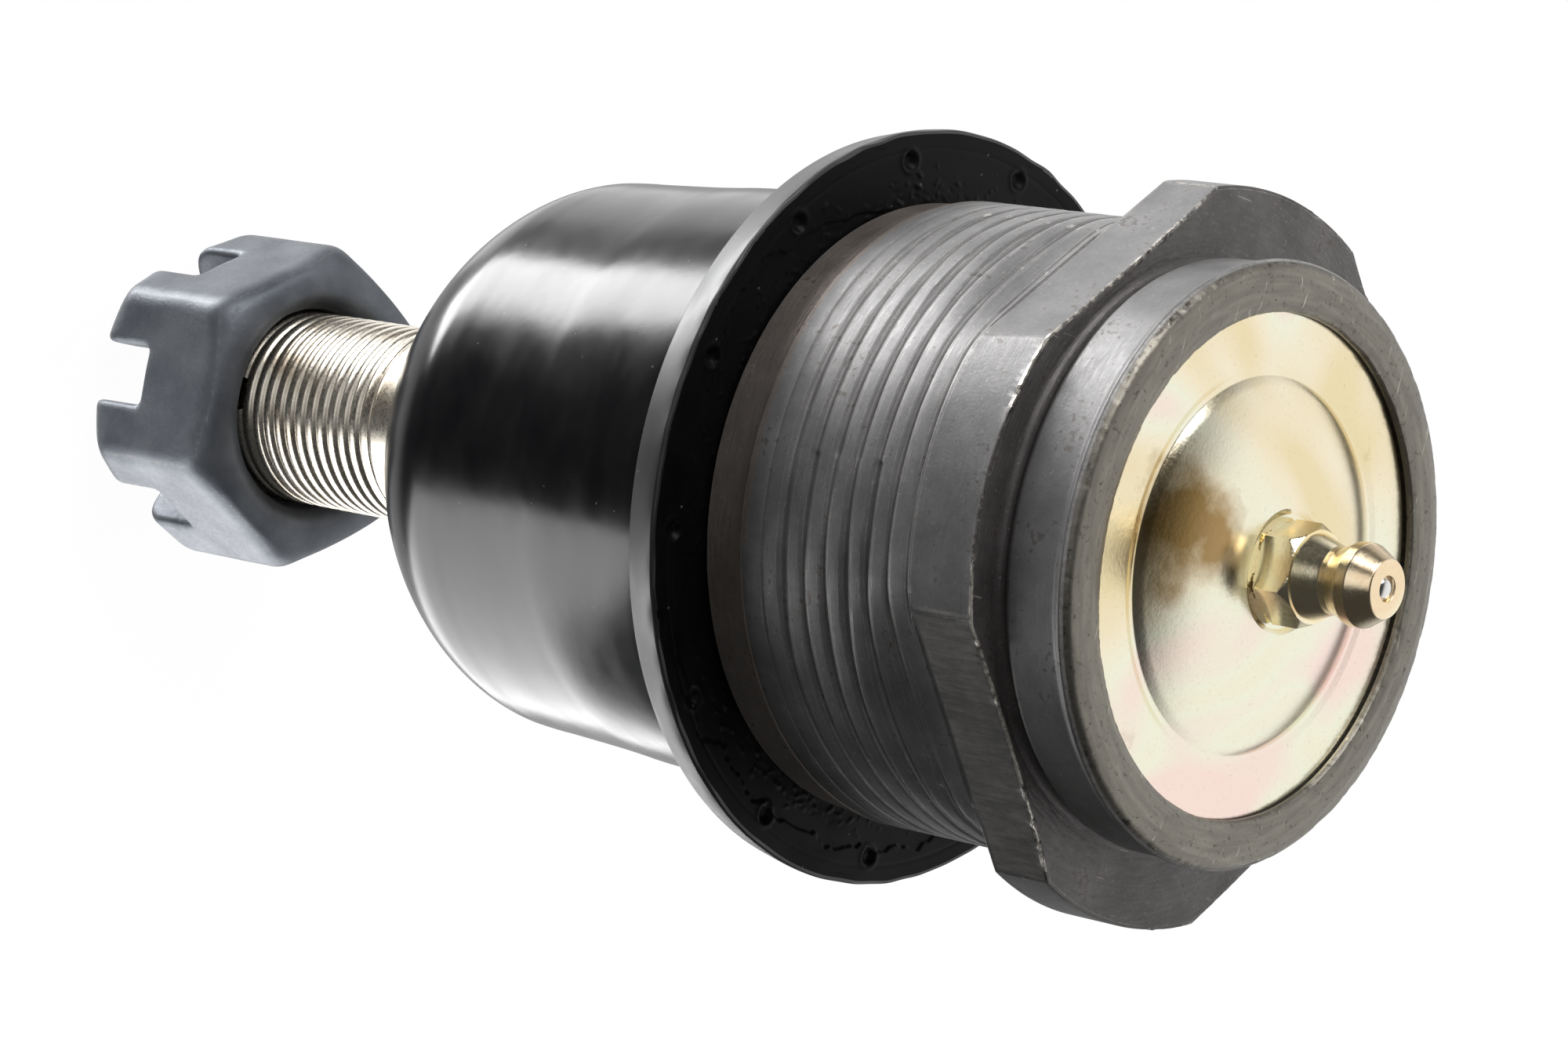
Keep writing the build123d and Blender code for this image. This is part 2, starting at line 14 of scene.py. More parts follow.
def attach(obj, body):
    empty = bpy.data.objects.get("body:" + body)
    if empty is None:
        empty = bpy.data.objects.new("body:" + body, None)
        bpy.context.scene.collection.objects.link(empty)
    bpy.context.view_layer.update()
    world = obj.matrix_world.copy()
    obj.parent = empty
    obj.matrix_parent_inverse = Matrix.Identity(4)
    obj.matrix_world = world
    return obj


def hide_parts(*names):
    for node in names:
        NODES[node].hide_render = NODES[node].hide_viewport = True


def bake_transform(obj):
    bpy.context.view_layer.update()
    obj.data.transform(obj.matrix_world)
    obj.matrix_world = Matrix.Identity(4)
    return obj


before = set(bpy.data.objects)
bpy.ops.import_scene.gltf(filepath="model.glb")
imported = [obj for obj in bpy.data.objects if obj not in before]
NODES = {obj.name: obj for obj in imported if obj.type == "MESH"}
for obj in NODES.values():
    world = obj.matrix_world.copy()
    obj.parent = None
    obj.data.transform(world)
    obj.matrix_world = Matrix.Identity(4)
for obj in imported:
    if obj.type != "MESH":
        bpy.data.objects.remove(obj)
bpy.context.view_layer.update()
MM = 0.001

# ---- sizes, mm: most are the solids' own, and the neck is drawn a little tighter ---------
THREAD_R = 25.4            # housing thread, 2 in - 12
THREAD_LOW, THREAD_HIGH = -9.5, 7.6
THREAD_PITCH = 25.4 / 12
THREAD_PHASE = -5.3        # height of a groove's middle at +X
BAND_R = 24.9
SHOULDER_Z = -13.65
SPIGOT_R, SPIGOT_END, SPIGOT_BEVEL = 22.0, -18.5, 0.6
HEAD_LOW = 7.6
HEAD_R, HEAD_AF = 29.25, 52.8
HEAD_SHIFT = (-3.75, -0.3)  # the forged head sits off the thread's axis
HEAD_EDGE_Z, HEAD_ROOT_Z = 12.95, 13.65
NECK_ROOT_R, NECK_R, NECK_FLARE_Z, NECK_FILLET = 22.4, 23.2, 15.6, 0.75
CORNER_DRAFT = 0.4
RIM_R, RIM_Z = 23.6, 21.5
LIP_R = 19.55
COVER_R, COVER_TOP, COVER_T = 20.3, 20.5, 2.0
DOME_R, HUB_R, HUB_Z = 14.5, 4.9, 23.5
COVER_HOLE_R = 3.2
BORE_R, BORE_FLOOR = 19.0, -11.0
THROAT_R, MOUTH_R = 15.0, 18.6
SEAT_Z = HUB_Z - 0.35      # the fitting's hexagon stands here
FIT_AF, FIT_HEX_T = 7.14, 3.2
FIT_STEM_R, FIT_STEM_END = 3.15, SEAT_Z - 4.4
FIT_NECK_R, FIT_HEAD_R = 2.62, 3.25
FIT_TOP = SEAT_Z + 9.75
FIT_BORE_R, FIT_BORE_FLOOR, FIT_PASSAGE_R = 1.25, SEAT_Z + 4.9, 0.7
BALL_R, BALL_FLAT_R = 15.875, 3.0
STUD_NECK_R, STUD_NECK_END = 7.6, -22.5
STUD_R = 8.73              # 11/16 in - 18
STUD_PITCH = 25.4 / 18
STUD_THREAD_TOP, STUD_END = -69.5, -94.0
COTTER_Z, COTTER_R = -88.2, 1.8
COLLAR_Z = -29.0
TAPER_R, TAPER_TOP, TAPER_END, TAPER_RATE = 10.9, -32.5, -62.5, 0.0625
BOOT_BORE_R = 22.05        # the boot's hole round the spigot
FLANGE_R, FLANGE_BACK_R, FLANGE_T = 30.87, 30.3, 3.35
WAIST_R, WAIST_Z = 24.3, -18.3
BODY_LOW_R, BODY_LOW_Z = 23.7, -47.7
DOME_END_R, DOME_END_Z, DOME_POWER = 9.8, -62.0, 1.57
NUT_AF, NUT_BASE, NUT_LOW = 26.6, -85.3, -102.7
NUT_BASE_FACE_R, NUT_BASE_BEVEL = 12.2, 1.75
NUT_CROWN_FACE_R, NUT_CROWN_BEVEL = 12.1, 2.7
NUT_SINK_R = 10.25         # mouth of the countersink on the boot side
NUT_TURN = radians(5.4)
SLOT_W, SLOT_DEEP = 5.2, 7.1

FINE, COARSE = 360, 240    # columns round a turned piece


# ---- meshes ----------------------------------------------------------------------------
def outline(*corners, step=0.8):
    """Points along a profile of (r, z) or (r, z, corner radius), no further apart than step."""
    points = []
    for i, corner in enumerate(corners):
        here = np.array(corner[:2], float)
        radius = corner[2] if len(corner) > 2 and 0 < i < len(corners) - 1 else 0
        if not radius:
            points.append(here)
            continue
        back = np.array(corners[i - 1][:2], float) - here
        ahead = np.array(corners[i + 1][:2], float) - here
        reach = min(np.linalg.norm(back), np.linalg.norm(ahead)) * 0.49
        back, ahead = back / np.linalg.norm(back), ahead / np.linalg.norm(ahead)
        half = np.arccos(np.clip(back @ ahead, -1, 1)) / 2
        cut = min(radius / tan(half), reach)
        for t in np.linspace(0, 1, 6):
            a, b = here + back * cut * (1 - t), here + ahead * cut * t
            points.append(a * (1 - t) + b * t)
    dense = [points[0]]
    for a, b in zip(points, points[1:]):
        count = max(1, int(np.ceil(np.linalg.norm(b - a) / step)))
        dense += [a + (b - a) * k / count for k in range(1, count + 1)]
    return np.array(dense)


def all_round(count):
    """Evenly spaced angles round the axis."""
    return np.linspace(0, 2 * pi, count, endpoint=False)


def wrap(angle, span=2 * pi):
    """Angle brought to within half a span of zero."""
    return (angle + span / 2) % span - span / 2


def rings(profile, angles):
    """Radii and heights of the same (r, z) profile at every angle."""
    return np.broadcast_to(profile, (len(angles),) + profile.shape).transpose(2, 0, 1).copy()


def turn(profile, angles):
    """Grid of points: the same (r, z) profile at every angle."""
    return place(*rings(profile, angles), angles)


def place(r, z, angles):
    """Grid of points from radii and heights, a row of each for every angle."""
    a = np.asarray(angles)[:, None]
    return np.stack([r * np.cos(a), r * np.sin(a), z], 2)


def ragged(angles, finest, seed):
    """Uneven signal round the axis, with a spread of about 1."""
    random = np.random.default_rng(seed)
    waves = random.integers(2, finest, 48)
    phases = random.uniform(0, 2 * pi, 48)
    return np.sin(np.multiply.outer(angles, waves) + phases).sum(-1) / sqrt(24)


def soft_max(a, b, k):
    """The larger of two distances, with the corner between them rounded to about k."""
    h = np.maximum(k - np.abs(a - b), 0) / k
    return np.maximum(a, b) + h * h * k / 4


def screw(radius, low, high, pitch, centre, shape, width, angles, uneven=0.0):
    """Helical groove rows between two plain rings. shape is (share of pitch, depth) pairs over one
    turn, from the groove's middle; width(z) narrows and shallows the groove towards its ends, and
    uneven is how much wear changes it round the axis."""
    turns = int(np.ceil((high - low) / pitch)) + 2
    start = np.floor((low - centre) / pitch) - 1
    share = np.concatenate([[s + n for s, _ in shape] for n in range(turns + 1)])
    depth = np.tile([d for _, d in shape], turns + 1)
    a = np.asarray(angles)[:, None]
    number = np.round(share)[None]
    near = share[None] - number
    middle = centre + pitch * (start + number + a / (2 * pi))
    narrow = width(middle) * (1 + uneven * np.sin(a * 7 + 1.9 * number) * np.sin(a * 3 + 0.7))
    z = middle + pitch * near * np.where(np.abs(near) < 0.25, np.maximum(narrow, 0.05), 1)
    z = np.clip(z, low, high)
    fade = np.clip((z - low) / 0.25, 0, 1) * np.clip((high - z) / 0.25, 0, 1)
    return place(radius - depth[None] * narrow * fade, z, angles), len(shape)


class Piece:
    """Collects grids of points into one mesh."""

    def __init__(self):
        self.points, self.faces, self.wear, self.count = [], [], [], 0

    def skin(self, grid, shift=0, wear=0.0):
        """Faces between neighbouring columns; shift joins a helix to itself, one turn on."""
        columns, rows = grid.shape[:2]
        index = np.arange(columns * rows).reshape(columns, rows) + self.count
        for j in range(columns):
            after = (j + 1) % columns
            step = shift if after == 0 else 0
            stop = rows - 1 - step
            self.faces.append(np.stack([
                index[j, :stop],
                index[after, step : rows - 1],
                index[after, step + 1 :],
                index[j, 1 : stop + 1],
            ], 1))
        self.points.append(grid.reshape(-1, 3))
        self.wear.append(np.broadcast_to(wear, (columns, rows)).ravel())
        self.count += columns * rows

    def build(self, name, body, materials, nodes, sharp, rule=None):
        """Makes the piece, with how worn each point is kept beside it for the finishes."""
        mesh = bpy.data.meshes.new(name)
        points = np.concatenate(self.points) * MM
        mesh.from_pydata(points.tolist(), [], np.concatenate(self.faces).tolist())
        worn = mesh.attributes.new("wear", "FLOAT", "POINT")
        worn.data.foreach_set("value", np.concatenate(self.wear).astype(np.float32))
        return dress(mesh, name, body, materials, nodes, sharp, rule)


def dress(mesh, name, body, materials, nodes, sharp, rule=None):
    """Cleans a mesh, gives it its finishes and puts it on its body, in place of CAD nodes."""
    work = bmesh.new()
    work.from_mesh(mesh)
    bmesh.ops.remove_doubles(work, verts=work.verts, dist=2e-7)
    bmesh.ops.dissolve_degenerate(work, edges=work.edges, dist=1e-7)
    bmesh.ops.recalc_face_normals(work, faces=work.faces)
    for face in work.faces:
        face.smooth = True
        if rule:
            centre = face.calc_center_median() / MM
            face.material_index = rule(sqrt(centre.x**2 + centre.y**2), centre.z)
    work.to_mesh(mesh)
    work.free()
    mesh.set_sharp_from_angle(angle=radians(sharp))
    for material in materials:
        mesh.materials.append(material)
    piece = bpy.data.objects.new(name, mesh)
    bpy.context.scene.collection.objects.link(piece)
    if body:
        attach(piece, body)
    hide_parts(*nodes)
    return piece


# ---- finishes --------------------------------------------------------------------------
RGBA = {"data_type": "RGBA"}
SCORED = 0.25              # wear that marks a wrench flat as scored


def colour(code):
    """Linear colour of an sRGB hex code."""
    channels = [int(code[i : i + 2], 16) / 255 for i in (1, 3, 5)]
    return [c / 12.92 if c <= 0.04045 else ((c + 0.055) / 1.055) ** 2.4 for c in channels] + [1.0]


def add(tree, kind, settings=None, **inputs):
    """Adds one shader node. settings are its properties, or stops for a colour ramp; inputs are
    values or sockets by name, or by number as in i0."""
    node = tree.nodes.new("ShaderNode" + kind)
    for key, value in (settings or {}).items():
        if key == "stops":
            while len(node.color_ramp.elements) < len(value):
                node.color_ramp.elements.new(0.5)
            for element, (position, code) in zip(node.color_ramp.elements, value):
                element.position = position
                element.color = colour(code)
        else:
            setattr(node, key, value)
    for key, value in inputs.items():
        socket = node.inputs[int(key[1:])] if key[1:].isdigit() else node.inputs[key.replace("_", " ")]
        if isinstance(value, bpy.types.NodeSocket):
            tree.links.new(value, socket)
        else:
            socket.default_value = value
    return node


def fresh(name):
    """Empty material with its output, and the piece's own coordinates in metres."""
    material = bpy.data.materials.new(name)
    material.use_nodes = True
    tree = material.node_tree
    tree.nodes.clear()
    output = tree.nodes.new("ShaderNodeOutputMaterial")
    here = add(tree, "TexCoord").outputs["Object"]
    return material, tree, output.inputs["Surface"], here


def around(tree, here, along=4.0):
    """Coordinates that follow a lathe tool: slow round the axis, fast along and across it."""
    split = add(tree, "SeparateXYZ", Vector=here).outputs
    flat = add(tree, "CombineXYZ", X=split["X"], Y=split["Y"])
    radius = add(tree, "VectorMath", {"operation": "LENGTH"}, i0=flat.outputs[0]).outputs["Value"]
    angle = add(tree, "Math", {"operation": "ARCTAN2"}, i0=split["Y"], i1=split["X"]).outputs[0]
    slow = add(tree, "Math", {"operation": "MULTIPLY"}, i0=angle, i1=along * MM).outputs[0]
    return add(tree, "CombineXYZ", X=slow, Y=radius, Z=split["Z"]).outputs[0]


def per_mm(size):
    """Texture scale for a feature of this size in millimetres, in coordinates of metres."""
    return 1000 / size


def phosphated_steel(name, dark, middle, light, line, cut):
    """Forged steel, turned and manganese-phosphated: a dry grey with a fine crystal grain, lathe
    lines, rust freckles, scratches, and bare steel where edges have knocked together."""
    material, tree, surface, here = fresh(name)
    lathe = around(tree, here)
    grain = add(tree, "TexNoise", Vector=here, Scale=per_mm(0.3), Detail=5.0, Roughness=0.7).outputs["Fac"]
    patches = add(tree, "TexNoise", Vector=here, Scale=per_mm(6), Detail=6.0, Roughness=0.68).outputs["Fac"]
    lines = add(tree, "TexNoise", Vector=lathe, Scale=per_mm(line), Detail=2.0, Roughness=0.6).outputs["Fac"]
    tone = add(tree, "ValToRGB", {"stops": [(0.3, dark), (0.5, middle), (0.7, light)]}, Fac=patches)
    # pale crystal specks: partly the coating's own grain, partly painted glints of its crystals
    pale_grain_and_glints = add(tree, "MapRange", Value=grain, From_Min=0.6, From_Max=0.72, To_Min=0.0, To_Max=0.55).outputs[0]
    base = add(tree, "Mix", RGBA, i0=pale_grain_and_glints, i6=tone.outputs[0], i7=colour("#a8a199")).outputs[2]
    pores = add(tree, "MapRange", Value=grain, From_Min=0.3, From_Max=0.38, To_Min=0.6, To_Max=0.0).outputs[0]
    base = add(tree, "Mix", RGBA, i0=pores, i6=base, i7=colour("#2c2624")).outputs[2]
    # rust freckles, about 0.5 mm, in loose groups
    rust = add(tree, "TexNoise", Vector=here, Scale=per_mm(0.55), Detail=3.0, Roughness=0.5).outputs["Fac"]
    rust = add(tree, "Math", {"operation": "MULTIPLY"}, i0=rust, i1=patches).outputs[0]
    rust = add(tree, "MapRange", Value=rust, From_Min=0.35, From_Max=0.4, To_Min=0.0, To_Max=0.5).outputs[0]
    base = add(tree, "Mix", RGBA, i0=rust, i6=base, i7=colour("#4a3c33")).outputs[2]
    # handling scratches: noise drawn out 14 times along a slant
    slant = add(tree, "Mapping", Vector=here, Rotation=(0.4, 0.9, 0.6), Scale=(1, 14, 14)).outputs[0]
    drawn = add(tree, "TexNoise", Vector=slant, Scale=per_mm(5), Detail=2.0, Roughness=0.5).outputs["Fac"]
    scratch = add(tree, "MapRange", Value=drawn, From_Min=0.7, From_Max=0.76,
                  To_Min=0.0, To_Max=0.5).outputs[0]
    base = add(tree, "Mix", RGBA, i0=scratch, i6=base, i7=colour("#b5b1ab")).outputs[2]
    worn = add(tree, "Attribute", {"attribute_name": "wear"}).outputs["Fac"]
    # a flat rubbed pale where wrenches slid over it, scored here and there: noise drawn out 8 times
    across = add(tree, "Mapping", Vector=here, Rotation=(0.5, -0.5, 0.9), Scale=(8, 8, 1)).outputs[0]
    scores = add(tree, "TexNoise", Vector=across, Scale=per_mm(4), Detail=6.0, Roughness=0.75).outputs["Fac"]
    scores = add(tree, "Math", {"operation": "MULTIPLY_ADD"}, i0=patches, i1=0.5, i2=scores).outputs[0]
    scores = add(tree, "MapRange", Value=scores, From_Min=0.66, From_Max=0.98,
                 To_Min=0.12, To_Max=0.75).outputs[0]
    flat = add(tree, "Math", {"operation": "COMPARE"}, i0=worn, i1=SCORED, i2=0.04).outputs[0]
    scored = add(tree, "Math", {"operation": "MULTIPLY"}, i0=scores, i1=flat).outputs[0]
    base = add(tree, "Mix", RGBA, i0=scored, i6=base, i7=colour("#b9b5af")).outputs[2]
    chips = add(tree, "TexNoise", Vector=here, Scale=per_mm(0.7), Detail=6.0, Roughness=0.75).outputs["Fac"]
    reach = add(tree, "Math", {"operation": "ADD"}, i0=worn, i1=chips).outputs[0]
    bare = add(tree, "MapRange", Value=reach, From_Min=1.1, From_Max=1.28, To_Min=0.0, To_Max=0.9).outputs[0]
    base = add(tree, "Mix", RGBA, i0=bare, i6=base, i7=colour("#d8d2c8")).outputs[2]
    rough = add(tree, "MapRange", Value=lines, From_Min=0.25, From_Max=0.75,
                To_Min=0.4, To_Max=0.54).outputs[0]
    rough = add(tree, "Mix", i0=bare, i2=rough, i3=0.3).outputs[0]
    bump = add(tree, "Bump", Strength=cut, Distance=0.05 * MM, Height=lines).outputs[0]
    bump = add(tree, "Bump", Strength=0.4, Distance=0.04 * MM, Height=grain, Normal=bump).outputs[0]
    shader = add(tree, "BsdfPrincipled", Base_Color=base, Metallic=0.5, Roughness=rough, Normal=bump)
    tree.links.new(shader.outputs[0], surface)
    return material


def swaged_steel():
    """The rolled-over rim: phosphate rubbed thin by the swaging rolls, grey-brown and freckled,
    with near-black patches, more of them towards its outer edge, and a few pale rub marks."""
    material, tree, surface, here = fresh("swaged_steel")
    lathe = around(tree, here, 3.0)
    lines = add(tree, "TexNoise", Vector=lathe, Scale=per_mm(0.55), Detail=4.0, Roughness=0.6).outputs["Fac"]
    pits = add(tree, "TexNoise", Vector=here, Scale=per_mm(0.45), Detail=5.0, Roughness=0.7).outputs["Fac"]
    patches = add(tree, "TexNoise", Vector=here, Scale=per_mm(2.4), Detail=6.0, Roughness=0.7).outputs["Fac"]
    low = add(tree, "Attribute", {"attribute_name": "wear"}).outputs["Fac"]
    rubbed = add(tree, "ValToRGB", {"stops": [(0.3, "#75716a"), (0.5, "#807c73"), (0.7, "#8c887e")]},
                 Fac=lines).outputs[0]
    dots = add(tree, "MapRange", Value=pits, From_Min=0.33, From_Max=0.42, To_Min=0.7, To_Max=0.0).outputs[0]
    base = add(tree, "Mix", RGBA, i0=dots, i6=rubbed, i7=colour("#3f3831")).outputs[2]
    # near-black patches, more of them where the wear attribute is higher, towards the rim's outer edge
    mixed = add(tree, "Math", {"operation": "SUBTRACT"}, i0=patches, i1=low).outputs[0]
    scale = add(tree, "MapRange", Value=mixed, From_Min=0.16, From_Max=0.3, To_Min=0.9, To_Max=0.0).outputs[0]
    base = add(tree, "Mix", RGBA, i0=scale, i6=base, i7=colour("#1f1b19")).outputs[2]
    # thin pale rubs, drawn out 12 times
    slant = add(tree, "Mapping", Vector=here, Rotation=(0.1, 0.2, 0.9), Scale=(12, 1, 12)).outputs[0]
    rubs = add(tree, "TexNoise", Vector=slant, Scale=per_mm(4), Detail=2.0, Roughness=0.5).outputs["Fac"]
    rubs = add(tree, "MapRange", Value=rubs, From_Min=0.68, From_Max=0.74, To_Min=0.0, To_Max=0.6).outputs[0]
    base = add(tree, "Mix", RGBA, i0=rubs, i6=base, i7=colour("#c9c1b4")).outputs[2]
    rough = add(tree, "MapRange", Value=scale, From_Min=0.0, From_Max=1.0, To_Min=0.38, To_Max=0.6).outputs[0]
    bump = add(tree, "Bump", Strength=0.2, Distance=0.05 * MM, Height=lines).outputs[0]
    bump = add(tree, "Bump", Strength=0.35, Distance=0.04 * MM, Height=pits, Normal=bump).outputs[0]
    shader = add(tree, "BsdfPrincipled", Base_Color=base, Metallic=0.85, Roughness=rough, Normal=bump)
    tree.links.new(shader.outputs[0], surface)
    return material


def gap_painted_shade():
    """Painted shade: near black down the gap between the swaged lip and the cover, where the lip's inner wall
    lies in shadow.
    """
    material, tree, surface, here = fresh("gap_painted_shade")
    lumps = add(tree, "TexNoise", Vector=here, Scale=per_mm(0.5), Detail=4.0).outputs["Fac"]
    tone = add(tree, "ValToRGB", {"stops": [(0.4, "#080706"), (0.75, "#2b221a")]}, Fac=lumps).outputs[0]
    bump = add(tree, "Bump", Strength=0.6, Distance=0.1 * MM, Height=lumps).outputs[0]
    shader = add(tree, "BsdfPrincipled", Base_Color=tone, Roughness=0.6, Normal=bump, Specular_IOR_Level=0.15)
    tree.links.new(shader.outputs[0], surface)
    return material


# middle of the painted dark reflection on the dome's side
DARK_REFLECTION_PLACE = Vector((10.8, -0.8, 21.8))  # on the dome, mm


def yellow_zinc(name, gold, straw, green, pink, rough_low, rough_high, swirl):
    """Zinc plate with a yellow chromate film: bright metal under a thin film that drifts from
    straw to pale green and pink, over the fine orange peel of the pressing."""
    material, tree, surface, here = fresh(name)
    drift = add(tree, "TexNoise", Vector=here, Scale=per_mm(swirl), Detail=2.0, Distortion=0.6).outputs["Fac"]
    # the film is thicker, and so pinker, on the side that hung lowest in the bath
    split = add(tree, "SeparateXYZ", Vector=here).outputs
    lean = add(tree, "Math", {"operation": "MULTIPLY_ADD"}, i0=split["X"], i1=-3.6, i2=drift).outputs[0]
    lean = add(tree, "Math", {"operation": "MULTIPLY_ADD"}, i0=split["Y"], i1=2.4, i2=lean).outputs[0]
    film = add(tree, "ValToRGB", {"stops": [(0.36, gold), (0.45, straw), (0.52, green), (0.59, pink)]},
               Fac=lean)
    # painted reflection: a deeper gold patch on the dome's side, standing in for the dark room that the dome
    # mirrors there
    dark_reflection_patch = add(tree, "TexNoise", Vector=here, Scale=per_mm(6), Detail=6.0, Roughness=0.52).outputs["Fac"]
    away = add(tree, "VectorMath", {"operation": "DISTANCE"}, i0=here, i1=DARK_REFLECTION_PLACE * MM).outputs["Value"]
    near = add(tree, "MapRange", Value=away, From_Min=2.5 * MM, From_Max=8 * MM,
               To_Min=0.36, To_Max=-0.12).outputs[0]
    dark_reflection_patch = add(tree, "Math", {"operation": "ADD"}, i0=dark_reflection_patch, i1=near).outputs[0]
    dark_reflection_patch = add(tree, "MapRange", Value=dark_reflection_patch, From_Min=0.57, From_Max=0.82,
                 To_Min=0.0, To_Max=0.85).outputs[0]
    specks = add(tree, "TexNoise", Vector=here, Scale=per_mm(0.3), Detail=5.0, Roughness=0.7).outputs["Fac"]
    dots = add(tree, "MapRange", Value=specks, From_Min=0.6, From_Max=0.72, To_Min=0.0, To_Max=0.3).outputs[0]
    base = add(tree, "Mix", RGBA, i0=dots, i6=film.outputs[0], i7=colour("#b3924e")).outputs[2]
    base = add(tree, "Mix", RGBA, i0=dark_reflection_patch, i6=base, i7=colour("#96712f")).outputs[2]
    brush = add(tree, "TexNoise", Vector=around(tree, here, 3.0), Scale=per_mm(0.5),
                Detail=3.0).outputs["Fac"]
    rough = add(tree, "MapRange", Value=specks, From_Min=0.3, From_Max=0.7,
                To_Min=rough_low, To_Max=rough_high).outputs[0]
    bump = add(tree, "Bump", Strength=0.35, Distance=0.03 * MM, Height=specks).outputs[0]
    bump = add(tree, "Bump", Strength=0.12, Distance=0.03 * MM, Height=brush, Normal=bump).outputs[0]
    shader = add(tree, "BsdfPrincipled", Base_Color=base, Metallic=1.0, Roughness=rough, Normal=bump)
    tree.links.new(shader.outputs[0], surface)
    return material


def bright_steel(name, light, dark, rough, line):
    """Bare turned steel: straw-tinted bright metal with fine circumferential tool lines and
    a breath of brown stain."""
    material, tree, surface, here = fresh(name)
    lathe = around(tree, here, 6.0)
    lines = add(tree, "TexNoise", Vector=lathe, Scale=per_mm(line), Detail=4.0, Roughness=0.7).outputs["Fac"]
    stain = add(tree, "TexNoise", Vector=here, Scale=per_mm(5), Detail=5.0, Roughness=0.65).outputs["Fac"]
    base = add(tree, "ValToRGB", {"stops": [(0.28, dark), (0.5, light)]}, Fac=stain).outputs[0]
    sheen = add(tree, "MapRange", Value=lines, From_Min=0.3, From_Max=0.7,
                To_Min=rough, To_Max=rough + 0.16).outputs[0]
    bump = add(tree, "Bump", Strength=0.25, Distance=0.03 * MM, Height=lines).outputs[0]
    shader = add(tree, "BsdfPrincipled", Base_Color=base, Metallic=1.0, Roughness=sheen, Normal=bump)
    tree.links.new(shader.outputs[0], surface)
    return material


def black_oxide():
    """Forged nut with a hot black oxide: blue-black and satin, rubbed to grey metal on its
    corners, with a fine scale grain."""
    material, tree, surface, here = fresh("black_oxide_steel")
    grain = add(tree, "TexNoise", Vector=here, Scale=per_mm(0.4), Detail=6.0, Roughness=0.7).outputs["Fac"]
    cloud = add(tree, "TexNoise", Vector=here, Scale=per_mm(5), Detail=4.0).outputs["Fac"]
    tone = add(tree, "ValToRGB", {"stops": [(0.35, "#50545b"), (0.65, "#676b71")]}, Fac=cloud).outputs[0]
    worn = add(tree, "Attribute", {"attribute_name": "wear"}).outputs["Fac"]
    reach = add(tree, "Math", {"operation": "MULTIPLY_ADD"}, i0=grain, i1=0.9, i2=worn).outputs[0]
    bare = add(tree, "MapRange", Value=reach, From_Min=0.7, From_Max=1.4, To_Min=0.0, To_Max=0.7).outputs[0]
    base = add(tree, "Mix", RGBA, i0=bare, i6=tone, i7=colour("#b9b4ac")).outputs[2]
    rough = add(tree, "MapRange", Value=grain, From_Min=0.3, From_Max=0.7,
                To_Min=0.38, To_Max=0.55).outputs[0]
    bump = add(tree, "Bump", Strength=0.5, Distance=0.06 * MM, Height=grain).outputs[0]
    shader = add(tree, "BsdfPrincipled", Base_Color=base, Metallic=0.6, Roughness=rough, Normal=bump)
    tree.links.new(shader.outputs[0], surface)
    return material


def moulded_rubber(name, rough_low, rough_high, tone_low, tone_high, bump_size, gleam):
    """Compression-moulded chloroprene: black, with the sheen of the polished mould, faint flow
    marks and a few specks of dust."""
    material, tree, surface, here = fresh(name)
    flow = add(tree, "TexNoise", Vector=around(tree, here, 14.0), Scale=per_mm(3), Detail=3.0,
               Roughness=0.5).outputs["Fac"]
    skin = add(tree, "TexNoise", Vector=here, Scale=per_mm(bump_size), Detail=4.0,
               Roughness=0.6).outputs["Fac"]
    dust = add(tree, "TexVoronoi", Vector=here, Scale=per_mm(2.2), Randomness=1.0).outputs["Distance"]
    specks = add(tree, "MapRange", Value=dust, From_Min=0.035, From_Max=0.055,
                 To_Min=0.35, To_Max=0.0).outputs[0]
    tone = add(tree, "ValToRGB", {"stops": [(0.3, tone_low), (0.7, tone_high)]}, Fac=flow).outputs[0]
    base = add(tree, "Mix", RGBA, i0=specks, i6=tone, i7=colour("#8f8c86")).outputs[2]
    rough = add(tree, "MapRange", Value=flow, From_Min=0.3, From_Max=0.7,
                To_Min=rough_low, To_Max=rough_high).outputs[0]
    bump = add(tree, "Bump", Strength=0.1, Distance=0.04 * MM, Height=skin).outputs[0]
    shader = add(tree, "BsdfPrincipled", Base_Color=base, Roughness=rough, IOR=1.52, Normal=bump,
                 Specular_IOR_Level=gleam)
    tree.links.new(shader.outputs[0], surface)
    return material


def sintered_iron():
    """Oil-soaked sintered iron: dull grey-brown with open pores."""
    material, tree, surface, here = fresh("sintered_iron")
    pores = add(tree, "TexVoronoi", Vector=here, Scale=per_mm(0.5), Randomness=1.0).outputs["Distance"]
    cloud = add(tree, "TexNoise", Vector=here, Scale=per_mm(3), Detail=5.0).outputs["Fac"]
    tone = add(tree, "ValToRGB", {"stops": [(0.3, "#4a443d"), (0.7, "#6b645b")]}, Fac=cloud).outputs[0]
    bump = add(tree, "Bump", Strength=0.5, Distance=0.06 * MM, Height=pores).outputs[0]
    shader = add(tree, "BsdfPrincipled", Base_Color=tone, Metallic=0.7, Roughness=0.5, Normal=bump)
    tree.links.new(shader.outputs[0], surface)
    return material


PHOSPHATE = phosphated_steel("phosphated_steel", "#6c6b6b", "#7c7b7b", "#8b8a8a", 0.22, 0.2)
